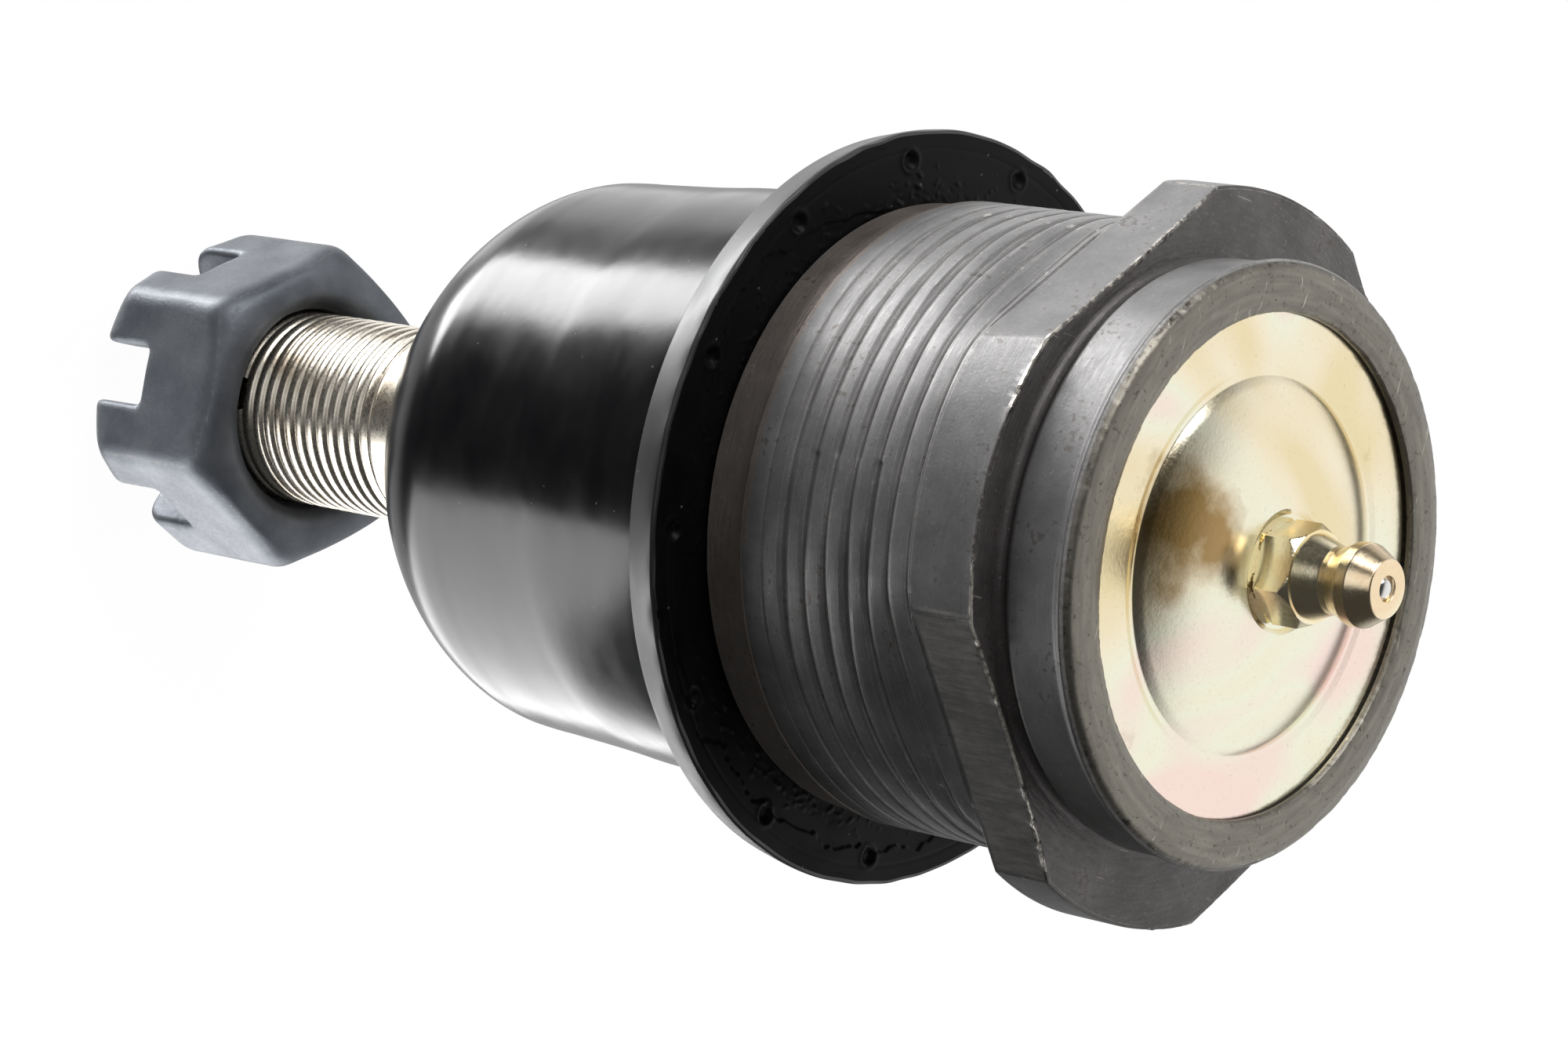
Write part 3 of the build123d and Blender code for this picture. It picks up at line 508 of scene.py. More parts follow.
# darker copy of the phosphate, with stronger tool lines, for the neck and the head's cover side: painted
# shade in the recess under the rim
TURNED_SHADED = phosphated_steel("turned_phosphate_painted_shade", "#4a4746", "#5a5756", "#696665", 0.35, 1.0)
BANDED = phosphated_steel("banded_phosphate", "#736b65", "#837b75", "#938b85", 0.35, 1.0)
SWAGED = swaged_steel()
GAP_SHADE = gap_painted_shade()
COVER_ZINC = yellow_zinc("yellow_zinc_plate", "#ecdcb2", "#f3e8cc", "#f0efd8", "#f7dfd4", 0.12, 0.22, 24)
FITTING_ZINC = yellow_zinc("yellow_zinc_steel", "#f4dca6", "#f8e6b8", "#f8eece", "#f4dcb8", 0.16, 0.28, 9)
BRIGHT = bright_steel("bright_steel", "#d6cfc2", "#b0a28f", 0.22, 0.2)
SPRING = bright_steel("spring_steel", "#8f8f92", "#6d6a68", 0.3, 0.3)
HARD = bright_steel("hard_steel", "#e6e4e0", "#dedbd6", 0.05, 0.4)
OXIDE = black_oxide()
RUBBER = moulded_rubber("boot_rubber", 0.17, 0.25, "#0a0a0d", "#111113", 0.8, 0.42)
RUBBER_EDGE = moulded_rubber("boot_rubber_edge", 0.36, 0.5, "#131315", "#1c1c1e", 0.5, 0.75)
RUBBER_TORN = moulded_rubber("boot_rubber_torn", 0.35, 0.55, "#050507", "#0b0b0c", 0.4, 0.09)
SINTERED = sintered_iron()


# ---- housing -----------------------------------------------------------------------------
FLATS = [radians(a) for a in (45, 135, -135, -45)]


def flat_distance(normal):
    """Distance of a wrench flat from the thread's axis."""
    return HEAD_AF / 2 + HEAD_SHIFT[0] * cos(normal) + HEAD_SHIFT[1] * sin(normal)


def head_corners():
    """Angles about the axis at which a wrench flat meets a turned corner."""
    half = np.arccos(HEAD_AF / 2 / HEAD_R)
    found = []
    for normal in FLATS:
        for side in (-1, 1):
            a = normal + side * half
            found.append(atan2(HEAD_SHIFT[1] + HEAD_R * sin(a), HEAD_SHIFT[0] + HEAD_R * cos(a)))
    found = [a for a in found if abs(a) > pi / 4]
    for normal in (FLATS[0], FLATS[3]):
        off = np.arccos(flat_distance(normal) / (THREAD_R - 0.2))
        found.append(normal - off if normal > 0 else normal + off)
    return np.mod(found, 2 * pi)


def head_limit(angle, z):
    """Radius of the wrench head at this angle and height: four flats with turned corners about a
    shifted centre, and the corner at +X turned flush with the thread."""
    along = HEAD_SHIFT[0] * cos(angle) + HEAD_SHIFT[1] * sin(angle)
    reach = along + sqrt(along**2 + HEAD_R**2 - HEAD_SHIFT[0] ** 2 - HEAD_SHIFT[1] ** 2)
    for normal in FLATS:
        lean = cos(angle - normal)
        if lean > 0.2:
            reach = min(reach, flat_distance(normal) / lean)
    if abs(wrap(angle)) < pi / 4:
        draft = (z - HEAD_LOW) / (HEAD_ROOT_Z + NECK_FILLET - HEAD_LOW)
        reach = min(reach, THREAD_R - CORNER_DRAFT * draft)
    return reach


LEDGE = 0.12               # step from a wrench flat down to the dish below it
RUNOUT = 6.5               # length of the dish, in which the flat fades out over the thread
DISH_SOFT = 0.9            # how softly the dish runs into the thread at its sides


def flat_cut(angle, z):
    """Depth by which the near flats dip into the thread below the head: a dish with no edge."""
    fade = min(max(1 - (HEAD_LOW - z) / RUNOUT, 0), 1)
    deep = 0.0
    for normal in (FLATS[0], FLATS[3]):
        lean = cos(angle - normal)
        if lean > 0.5:
            deep = max(deep, soft_max(0.0, THREAD_R - LEDGE - flat_distance(normal) / lean, DISH_SOFT))
    return deep * fade * fade * (3 - 2 * fade)


def cover_side(r):
    """Height of the head's cover side at a radius: a shallow cone that runs into the neck fillet."""
    root = NECK_ROOT_R + NECK_FILLET
    if r >= root:
        return HEAD_ROOT_Z + (r - root) * (HEAD_EDGE_Z - HEAD_ROOT_Z) / (HEAD_R - root)
    return HEAD_ROOT_Z + NECK_FILLET - sqrt(max(NECK_FILLET**2 - (root - r) ** 2, 0))


# rows of the head's profile, as head_rows lists them, and how worn its corners are
LOW_CORNER, SIDE, COVER_EDGE = slice(2, 4), slice(4, 14), slice(14, 17)
FULL_HEIGHT = slice(3, 17)
LOW_CORNER_WEAR, COVER_EDGE_WEAR, UPRIGHT_WEAR = 0.4, 0.42, 0.62


def head_rows(angle, burr):
    """Profile of the head at one angle, from the thread's top ring to the foot of the neck."""
    low = head_limit(angle, HEAD_LOW)
    start = THREAD_R - flat_cut(angle, HEAD_LOW)
    step = low - start
    soft = min(0.25, abs(step) / 2)
    side = 1 if step > 0 else -1
    rows = [(start, HEAD_LOW), (start + step / 2, HEAD_LOW), (low - side * soft, HEAD_LOW),
            (low, HEAD_LOW + soft + 0.02)]
    high = head_limit(angle, HEAD_EDGE_Z)
    top = cover_side(high)
    for t in np.linspace(0.08, 0.95, 10):
        z = HEAD_LOW + soft + (top - HEAD_LOW - soft) * t
        rows.append((head_limit(angle, z), z))
    rows.append((high - 0.01 + 0.03 * burr, top - 0.16))
    rows.append((high - 0.03 + 0.1 * burr, top - 0.02 + 0.13 * max(burr, 0)))
    rows.append((high - 0.2 + 0.04 * burr, cover_side(high - 0.2) + 0.08 * max(burr, 0)))
    rim = high - 0.4
    r = NECK_ROOT_R + (rim - NECK_ROOT_R) * np.linspace(1, 0, 80) ** 1.6
    z = np.array([cover_side(v) for v in r])
    length = np.concatenate([[0], np.cumsum(np.hypot(np.diff(r), np.diff(z)))])
    spread = np.linspace(0, length[-1], 18)
    rows += list(zip(np.interp(spread, length, r), np.interp(spread, length, z)))
    return rows


def housing():
    """Head, neck and rim, inside and band, and thread, all on one set of columns."""
    edges = head_corners()
    angles = all_round(2 * FINE)
    away = np.abs(angles[:, None] - edges[None]).min(1) > radians(0.3)
    angles = np.sort(np.concatenate([angles[away], edges]))
    piece = Piece()

    # the flats' cover edges carry a rolled burr, heavier on the flat at +45 degrees
    def near(normal):
        """1 across the flat with this normal, and 0 away from it."""
        return np.clip((radians(33) - np.abs(wrap(angles - normal))) / radians(3), 0, 1)

    flats = near(FLATS[3]) + 1.5 * near(FLATS[0]) + 0.6 * (near(FLATS[1]) + near(FLATS[2]) + near(0))
    lumps = np.clip(ragged(angles, 190, 5) + 0.3, -0.6, 2.4)
    burr = lumps * np.clip(0.5 + 0.7 * ragged(angles, 14, 6), 0.08, 2.0) * (0.02 + 0.9 * flats)
    burr = np.clip(burr, -0.6, 2.9)
    rows = np.array([head_rows(a, b) for a, b in zip(angles, burr)])
    wear = np.zeros(rows.shape[:2])
    wear[:, COVER_EDGE] = (COVER_EDGE_WEAR + 0.23 * np.minimum(flats, 1.4))[:, None]
    wear[:, LOW_CORNER] = LOW_CORNER_WEAR
    reach = np.array([head_limit(a, HEAD_LOW) * cos(a - FLATS[0]) for a in angles])
    wear[np.abs(reach - flat_distance(FLATS[0])) < 1e-6, SIDE] = SCORED
    for edge in edges:
        close = np.abs(angles - edge) < radians(0.4)
        wear[close, FULL_HEIGHT] = np.maximum(wear[close, FULL_HEIGHT], UPRIGHT_WEAR)
    piece.skin(place(rows[:, :, 0], rows[:, :, 1], angles), wear=wear)

    rim = outline(
        (NECK_ROOT_R, HEAD_ROOT_Z + NECK_FILLET),
        (NECK_R - 0.04, NECK_FLARE_Z - 0.2, 0.5),
        (NECK_R, RIM_Z - 3.4, 3.0),
        (NECK_R + 0.05, RIM_Z - 1.7, 0.8),
        (RIM_R + 0.02, RIM_Z - 1.0, 0.3),
        (RIM_R - 0.55, RIM_Z - 0.3, 0.8),
        (RIM_R - 1.7, RIM_Z - 0.01, 1.2),
        (LIP_R + 0.8, RIM_Z - 0.05, 0.8),
        (LIP_R + 0.15, RIM_Z - 0.25, 0.2),
        (LIP_R, RIM_Z - 0.5, 0.2),
        (LIP_R, COVER_TOP),
        (COVER_R + 0.05, COVER_TOP),
        (COVER_R + 0.05, COVER_TOP - COVER_T),
        (BORE_R, COVER_TOP - COVER_T),
        (BORE_R, BORE_FLOOR),
        (THROAT_R, BORE_FLOOR),
        (MOUTH_R, SPIGOT_END),
        (SPIGOT_R - SPIGOT_BEVEL, SPIGOT_END),
        (SPIGOT_R, SPIGOT_END + SPIGOT_BEVEL),
        (SPIGOT_R, SHOULDER_Z),
        (BAND_R - 0.15, SHOULDER_Z),
        (BAND_R, SHOULDER_Z + 0.15),
        (BAND_R, THREAD_LOW - 0.5),
        (THREAD_R, THREAD_LOW),
        step=0.35,
    )
    r, z = rim[:, 0], rim[:, 1]
    dent = ragged(angles, 40, 11)[:, None] * 0.05 + ragged(angles, 180, 12)[:, None] * 0.025
    crease = np.exp(-((r - RIM_R + 0.25) ** 2 + (z - RIM_Z + 0.4) ** 2) / 0.35)
    lip = np.exp(-((r - LIP_R) ** 2 + (z - RIM_Z + 0.3) ** 2) / 0.12)
    outside = r > LIP_R - 0.01
    shaped_r = r + dent * (crease * 0.25 - lip * 0.3)
    shaped_z = z - np.abs(dent) * (crease * 0.7 + lip * 0.8)
    rim_wear = np.where(z > RIM_Z - 0.95, 0.24 * np.clip((r - RIM_R + 0.9) / 0.8, 0, 1) * outside, 0)
    band_wear = np.where((z < THREAD_LOW + 0.2) & (z > SHOULDER_Z), 0.3, 0)
    piece.skin(place(shaped_r, shaped_z, angles), wear=rim_wear + band_wear)

    # worn crests with rounded shoulders, and a narrow open root: (share of the pitch, depth)
    shape = [(-0.5, 0), (-0.38, 0), (-0.28, 0.01), (-0.2, 0.03), (-0.12, 0.09), (-0.05, 0.3), (0, 0.34),
             (0.05, 0.3), (0.12, 0.09), (0.2, 0.03), (0.28, 0.01), (0.38, 0)]

    def width(z):
        """Narrow at both ends of the thread, where the tool runs in and out."""
        start = np.clip((z - THREAD_LOW - 2.5) / 1.6, 0, 1)
        end = np.clip((THREAD_HIGH + 0.3 - z) / 3.4, 0, 1)
        return 0.22 + 0.78 * np.minimum(start, end)

    grid, rows = screw(THREAD_R, THREAD_LOW, THREAD_HIGH, THREAD_PITCH, THREAD_PHASE, shape, width,
                       angles, uneven=0.35)
    radius = np.hypot(grid[:, :, 0], grid[:, :, 1])
    depth = THREAD_R - radius
    knocks = np.clip(ragged(angles, 60, 15)[:, None] * ragged(angles, 11, 16)[:, None], 0, 2)
    crest = np.where((depth > 0.008) & (depth < 0.2), 0.34 + 0.13 * knocks, 0)
    cut = np.array([[flat_cut(a, z) for z in heights] for a, heights in zip(angles, grid[:, :, 2])])
    # the grooves grow shallower where the flats dip into the thread
    shaped = THREAD_R - cut - depth * np.clip(1 - cut / 1.6, 0.15, 1)
    grid[:, :, :2] *= (shaped / radius)[:, :, None]
    piece.skin(grid, shift=rows, wear=crest)

    forged, swaged, shaded_gap, turned, banded = range(5)

    def finish(r, z):
        """Which finish a face has, by where it lies."""
        if LIP_R - 0.15 < r < RIM_R + 0.2 and z > RIM_Z - 0.72:
            return swaged
        # the gap inside the lip takes the painted shade
        if r < LIP_R + 0.1 and z > COVER_TOP - 0.4:
            return shaded_gap
        if SHOULDER_Z < z < THREAD_LOW + 0.4:
            return banded
        # the neck and the head's cover side take the darker turned finish, which is painted shade under the
        # rim
        if r < NECK_R - 0.3:
            return turned if HEAD_EDGE_Z < z < NECK_FLARE_Z else forged
        return turned if cover_side(r) - 0.12 < z < HEAD_ROOT_Z + 0.1 else forged

    finishes = [PHOSPHATE, SWAGED, GAP_SHADE, TURNED_SHADED, BANDED]
    piece.build("housing_forging", "body", finishes, ["housing"], sharp=24, rule=finish)


# ---- cover plate ---------------------------------------------------------------------------
def cover():
    """Pressed disc: a spot-faced hub, a dome, a shallow groove round it and a flat rim."""
    angles = all_round(FINE)
    t = np.linspace(0, 0.97, 26)
    dome = list(zip(HUB_R + (DOME_R - HUB_R) * t, COVER_TOP + (HUB_Z - COVER_TOP) * (1 - t**1.75)))
    under = [(r, z - COVER_T) for r, z in dome[::-1]]
    top = outline(
        (COVER_HOLE_R, HUB_Z - COVER_T),
        (COVER_HOLE_R, SEAT_Z),
        (HUB_R - 0.5, SEAT_Z, 0.2),
        (HUB_R, HUB_Z + 0.02, 0.3),
        dome[1],
    )
    flange = outline(
        dome[-1],
        (DOME_R + 0.25, COVER_TOP - 0.24, 0.4),
        (DOME_R + 0.6, COVER_TOP - 0.22, 0.4),
        (DOME_R + 1.2, COVER_TOP, 0.5),
        (LIP_R + 0.2, COVER_TOP, 0.3),
        (COVER_R, COVER_TOP - 0.35, 0.2),
        (COVER_R, COVER_TOP - COVER_T),
        (DOME_R, COVER_TOP - COVER_T),
        step=0.6,
    )
    profile = np.concatenate([top, dome[2:], flange[1:], under, top[:1]])
    r, z = rings(profile, angles)
    # the pressing is a little uneven, most of all half way up the dome
    sag = ragged(angles, 5, 21)[:, None] * 0.02
    z += sag * np.exp(-((r - 11) ** 2) / 18)
    piece = Piece()
    piece.skin(place(r, z, angles))
    piece.build("cover_disc", "body", [COVER_ZINC], ["cover_plate"], sharp=50)


# ---- grease fitting ------------------------------------------------------------------------
def fitting():
    """Turned body: a stem, a hexagon with bevelled corners, a waisted neck and a head for the coupler."""
    angles = all_round(COARSE)
    hexagon = FIT_AF / 2 / np.cos(wrap(angles, pi / 3))
    rows = []
    bevel_break = 0.975  # depth at which the bevel over the hexagon grows flatter
    for z in np.linspace(0, FIT_HEX_T, 30):
        down = FIT_HEX_T - z
        top = 3.62 + 0.77 * down if down < bevel_break else 4.37 + 1.1 * (down - bevel_break)
        foot = 3.67 + 2.02 * z
        rows.append((min(top, foot), SEAT_Z + z))
    stem = outline(
        (FIT_PASSAGE_R, FIT_STEM_END),
        (FIT_STEM_R - 0.5, FIT_STEM_END),
        (FIT_STEM_R, FIT_STEM_END + 0.7),
        (FIT_STEM_R, SEAT_Z),
    )
    head = outline(
        (FIT_HEAD_R + 0.1, SEAT_Z + FIT_HEX_T),
        (FIT_NECK_R, SEAT_Z + 5.15, 0.5),
        (FIT_NECK_R, SEAT_Z + 5.75, 0.5),
        (FIT_HEAD_R, SEAT_Z + 7.1, 0.25),
        (FIT_HEAD_R, SEAT_Z + 8.0, 0.3),
        (2.3, FIT_TOP - 0.07, 0.12),
        (2.2, FIT_TOP, 0.06),
        (1.0, FIT_TOP, 0.08),
        (0.95, FIT_TOP - 0.35),
        (FIT_BORE_R, FIT_TOP - 0.75),
        (FIT_BORE_R, FIT_BORE_FLOOR),
        (FIT_PASSAGE_R, FIT_BORE_FLOOR),
        (FIT_PASSAGE_R, FIT_STEM_END),
        step=0.3,
    )
    r, z = rings(np.concatenate([stem, rows, head]), angles)
    # only what stands out past the collar is cut to the hexagon
    r = np.where(r > FIT_HEAD_R + 0.15, np.minimum(r, hexagon[:, None]), r)
    piece = Piece()
    piece.skin(place(r, z, angles))
    piece.build("grease_fitting", "body", [FITTING_ZINC], ["fitting_body"], sharp=18)


# ---- ball stud -----------------------------------------------------------------------------
def taper(z):
    """Radius of the shank's taper at a height."""
    return TAPER_R - TAPER_RATE * (TAPER_TOP - z)


def stud():
    """Ball, neck, tapered shank and threaded end in one, with the cotter hole drilled across it."""
    angles = all_round(COARSE)
    flat = sqrt(BALL_R**2 - BALL_FLAT_R**2)
    neck = sqrt(BALL_R**2 - STUD_NECK_R**2)
    sweep = np.linspace(atan2(BALL_FLAT_R, flat), pi - atan2(STUD_NECK_R, neck), 60)
    ball = [(BALL_R * sin(t), BALL_R * cos(t)) for t in sweep]
    upper = outline((0, flat), (BALL_FLAT_R, flat), step=1.5)
    lower = outline(
        (STUD_NECK_R, -neck),
        (STUD_NECK_R, STUD_NECK_END, 2.0),
        (STUD_NECK_R + 0.5, STUD_NECK_END - 1.6, 2.0),
        (TAPER_R - 0.4, COLLAR_Z + 0.6, 0.8),
        (TAPER_R, COLLAR_Z, 0.4),
        (TAPER_R, TAPER_TOP),
        (taper(TAPER_END), TAPER_END),
        (STUD_R + 0.05, TAPER_END - 0.6, 0.2),
        (STUD_R, STUD_THREAD_TOP),
        step=1.0,
    )
    piece = Piece()
    piece.skin(turn(np.concatenate([upper, ball[1:-1], lower]), angles))
    # rolled thread: broad smooth crests with narrow roots, as (share of the pitch, depth)
    shape = [(-0.5, 0), (-0.36, 0.01), (-0.26, 0.045), (-0.18, 0.13), (-0.1, 0.27), (-0.04, 0.35), (0, 0.36),
             (0.04, 0.35), (0.1, 0.27), (0.18, 0.13), (0.26, 0.045), (0.36, 0.01)]

    def width(z):
        """Narrow where the thread runs out under the shank."""
        return 0.15 + 0.85 * np.clip((STUD_THREAD_TOP + 0.4 - z) / 2.2, 0, 1)

    low = STUD_END + 1.3
    grid, rows = screw(STUD_R, low, STUD_THREAD_TOP, STUD_PITCH, STUD_END, shape, width, angles)
    piece.skin(grid, shift=rows)
    piece.skin(turn(outline((STUD_R, low), (STUD_R - 1.3, STUD_END, 0.3), (0, STUD_END), step=1.5), angles))
    made = piece.build("turned_stud", "stud", [BRIGHT], ["ball_stud"], sharp=40)
    # cotter hole across the thread, in line with one pair of the nut's slots
    drill = bpy.data.meshes.new("cotter_drill")
    work = bmesh.new()
    level = Matrix.Rotation(NUT_TURN, 4, "Z") @ Matrix.Rotation(pi / 2, 4, "Y")
    bmesh.ops.create_cone(work, cap_ends=True, segments=48, radius1=COTTER_R * MM, radius2=COTTER_R * MM,
                          depth=4 * STUD_R * MM, matrix=Matrix.Translation((0, 0, COTTER_Z * MM)) @ level)
    work.to_mesh(drill)
    work.free()
    cutter = bpy.data.objects.new("cotter_drill", drill)
    bpy.context.scene.collection.objects.link(cutter)
    cut = made.modifiers.new("cotter", "BOOLEAN")
    cut.operation, cut.solver, cut.object = "DIFFERENCE", "EXACT", cutter
    bpy.context.view_layer.update()
    made.data = bpy.data.meshes.new_from_object(made.evaluated_get(bpy.context.evaluated_depsgraph_get()))
    made.modifiers.clear()
    bpy.data.objects.remove(cutter)


# ---- boot ----------------------------------------------------------------------------------
DIMPLES = 13               # mould pin marks round the flange face
FIRST_DIMPLE = radians(-67)
DIMPLE_CIRCLE_R = 28.5
WITNESS_R = 29.3           # a fine line left by a joint in the mould
FACE_R = 25.0              # the fine rows of the face start here, just outside the band
CRUMB_R = 27               # middle radius of the crumbs, which turns their angles into lengths
# pockets of the rings moulded into the flange and the lip: inner and outer radius, low and high
FLANGE_RING = (22.87, 29.63, -16.1, -14.6)
LIP_RING = (10.57, 12.33, -59.8, -58.4)


def boot_flange():
    """Flat flange of the boot: its moulded face with torn film and crumbs, and its edge and back."""
    angles = all_round(3 * FINE)
    face = [(r, SHOULDER_Z) for r in np.linspace(FACE_R, FLANGE_R - 0.3, 58)]
    back = SHOULDER_Z - FLANGE_T
    profile = np.concatenate([
        [(BOOT_BORE_R, SHOULDER_Z), (24.0, SHOULDER_Z)],
        face,
        outline(
            (FLANGE_R - 0.3, SHOULDER_Z),
            (FLANGE_R - 0.02, SHOULDER_Z - 0.12, 0.12),
            (FLANGE_R, SHOULDER_Z - 0.3, 0.1),
            (FLANGE_BACK_R, back + 0.35, 0.2),
            (FLANGE_BACK_R - 0.5, back, 0.25),
            (WAIST_R + 0.9, back - 0.25, 0.9),
            (WAIST_R, WAIST_Z),
            (BOOT_BORE_R, WAIST_Z),
            (BOOT_BORE_R, SHOULDER_Z),
            step=0.5,
        )[1:],
    ])
    r, z = rings(profile, angles)
    row = np.arange(len(profile))
    on_face = ((row >= 2) & (row < 2 + len(face)))[None]
    # the witness line and the pin dimples along it, each with a slight raised ring
    z -= on_face * 0.05 * np.exp(-(((r - WITNESS_R) / 0.14) ** 2))
    offset = wrap(angles[:, None] - FIRST_DIMPLE, 2 * pi / DIMPLES)
    away = np.hypot(r - DIMPLE_CIRCLE_R, offset * DIMPLE_CIRCLE_R)
    z -= on_face * (0.4 * np.exp(-((away / 0.62) ** 4)) - 0.07 * np.exp(-(((away - 0.95) / 0.22) ** 2)))
    # torn film: a thin skin of rubber that has broken away towards the housing
    torn = 28.0 + 0.55 * ragged(angles, 9, 31) + 0.28 * ragged(angles, 50, 32)
    torn += 0.12 * ragged(angles, 200, 36)
    side = np.clip((np.cos(angles - radians(40)) + 0.2) * 2.0, 0, 1)
    torn = FACE_R + (torn - FACE_R) * side
    z -= on_face * 0.16 * np.clip((torn[:, None] - r) / 0.16, 0, 1)
    # loose flakes and crumbs of rubber, thickest against the housing
    random = np.random.default_rng(33)
    for _ in range(800):
        at = random.uniform(0, 2 * pi)
        long = random.uniform(0.1, 0.45)
        wide = random.uniform(0.1, 0.25)
        out = BAND_R + random.gamma(1.3, 0.7)
        slant = random.uniform(-0.8, 0.8)
        high = random.uniform(-0.04, 0.08)
        turned = wrap(angles - at)
        columns = np.abs(turned) < 0.08
        over = turned[columns][:, None] * CRUMB_R
        beyond = r[columns] - out
        u = over * cos(slant) + beyond * sin(slant)
        v = beyond * cos(slant) - over * sin(slant)
        z[columns] += on_face * high * np.exp(-((u / long) ** 4) - (v / wide) ** 4)
    # moulding flash along the outer edge, on the face and the first rows round it
    flash = np.clip(0.1 + 0.05 * ragged(angles, 40, 37)[:, None], 0.01, 0.24)
    z += (row < 6 + len(face)) * flash * np.exp(-(((r - FLANGE_R + 0.14) / 0.1) ** 2))
    waver = 0.04 * (ragged(angles, 60, 35)[:, None] - 1.8)
    r += (r > FLANGE_BACK_R - 0.2) * waver * np.exp(-(((z - SHOULDER_Z) / 0.5) ** 2))
    piece = Piece()
    piece.skin(place(np.minimum(r, FLANGE_R), z, angles))
    ring_pocket(piece, *FLANGE_RING, angles[::3])

    edge, torn_face = range(2)

    def finish(r, z):
        """The face towards the housing is torn and dull, and the edge and back keep their skin."""
        return torn_face if r < FLANGE_R - 0.35 and z > SHOULDER_Z - 0.95 else edge

    finishes = [RUBBER_EDGE, RUBBER_TORN]
    piece.build("boot_flange", "body", finishes, ["dust_boot"], sharp=45, rule=finish)


def ring_pocket(piece, inner, outer, low, high, angles):
    """Closed hollow in the rubber where a steel ring is moulded in."""
    walls = [(inner, low), (inner, high), (outer, high), (outer, low), (inner, low)]
    piece.skin(turn(np.array(walls), angles))


MOULD_LINE, MOULD_STEP = -34.5, 0.02   # where two rings of the mould met
MOULD_LAND = -46           # down to here the lower ring leaves the bell a hair smaller
LIP_TOP = -57.2            # inner end of the lip's bore


def boot_outline():
    """Outer line of the bell, from the waist to the lip: full under the flange, a faint mould line
    a third of the way down, then a superellipse dome."""
    knots = [(24.15, -17.2), (WAIST_R, WAIST_Z), (24.62, -19.4), (24.8, -21.5), (24.8, -24.0), (24.66, -28.5),
             (24.5, -33.0), (24.16, -38.0), (23.92, -43.0), (BODY_LOW_R, BODY_LOW_Z), (23.4, -50.0)]
    points = []
    for a, b, c, d in zip(knots, knots[1:], knots[2:], knots[3:]):
        a, b, c, d = map(np.array, (a, b, c, d))
        for t in np.linspace(0, 1, 8, endpoint=False):
            points.append(0.5 * (2 * b + (c - a) * t + (2 * a - 5 * b + 4 * c - d) * t**2
                                 + (3 * b - a - 3 * c + d) * t**3))
    for t in np.linspace(0, pi / 2, 44):
        share = sin(t) ** 1.1
        reach = max(1 - share**DOME_POWER, 0) ** (1 / DOME_POWER)
        r = DOME_END_R + reach * (BODY_LOW_R - DOME_END_R)
        points.append((r, BODY_LOW_Z + share * (DOME_END_Z - BODY_LOW_Z)))
    return np.array(points)


def boot_body():
    """The bell, from the housing to the lip on the shank."""
    angles = all_round(FINE)
    outer = boot_outline()
    lip = outline(
        (DOME_END_R, DOME_END_Z),
        (taper(DOME_END_Z) + 0.05, DOME_END_Z),
        (taper(LIP_TOP) + 0.05, LIP_TOP),
        (13.0, LIP_TOP),
        (15.2, LIP_TOP + 1.1),
    )
    inner = [(20.0, -51.4), (21.5, -46.6), (21.95, -36.0), (22.4, -24.0), (BOOT_BORE_R, -19.3),
             (BOOT_BORE_R, WAIST_Z)]
    profile = np.concatenate([outer, lip[1:], inner, [outer[0]]])
    height = outer[:, 1]
    step = MOULD_STEP / (1 + np.exp((height - MOULD_LINE) / 0.08))
    profile[: len(outer), 0] -= step * (height > MOULD_LAND)
    piece = Piece()
    piece.skin(turn(profile, angles))
    ring_pocket(piece, *LIP_RING, angles)
    made = piece.build("boot_bell", None, [RUBBER], ["dust_boot"], sharp=50)
    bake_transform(made)


# ---- castle nut ------------------------------------------------------------------------------
def nut_parts(p):
    """Signed distances of the nut's faces at points p, before they are cut together."""
    x, y, z = p[..., 0], p[..., 1], p[..., 2]
    r = np.hypot(x, y)
    corner = NUT_AF / 2 / cos(pi / 6)
    base_lean = atan2(NUT_BASE_BEVEL, corner - NUT_BASE_FACE_R)
    crown_lean = atan2(NUT_CROWN_BEVEL, corner - NUT_CROWN_FACE_R)
    base = (r - NUT_BASE_FACE_R) * sin(base_lean) + (z - NUT_BASE) * cos(base_lean)
    crown = (r - NUT_CROWN_FACE_R) * sin(crown_lean) + (NUT_LOW - z) * cos(crown_lean)
    ends = np.abs(z - (NUT_BASE + NUT_LOW) / 2) - (NUT_BASE - NUT_LOW) / 2
    bore = STUD_R + 0.05 - r
    # the countersink slopes at 55 degrees
    sink = (NUT_SINK_R - r) * 0.82 + (z - NUT_BASE) * 0.57
    flats, slots = [], []
    for n in range(3):
        a = NUT_TURN + n * pi / 3
        flats.append(np.abs(x * cos(a) + y * sin(a)) - NUT_AF / 2)
        across = np.abs(-x * sin(a) + y * cos(a)) - SLOT_W / 2
        slots.append(-soft_max(across, z - (NUT_LOW + SLOT_DEEP), 0.9))
    return flats, base, crown, ends, bore, sink, slots


def nut_distance(p):
    """Signed distance of the nut: its faces cut together with soft edges, and a little uneven."""
    flats, base, crown, ends, bore, sink, slots = nut_parts(p)
    body = soft_max(soft_max(flats[0], flats[1], 1.3), flats[2], 1.3)
    for face, k in ((base, 1.5), (crown, 1.2), (ends, 0.7), (bore, 0.3), (sink, 0.8)):
        body = soft_max(body, face, k)
    for slot in slots:
        body = soft_max(body, slot, 0.8)
    # forging leaves the faces slightly uneven
    uneven = np.sin(p[..., 0] * 0.9 + 1.3) * np.sin(p[..., 1] * 1.1 + 0.4) * np.sin(p[..., 2] * 0.8)
    return body + 0.05 * uneven + 0.05


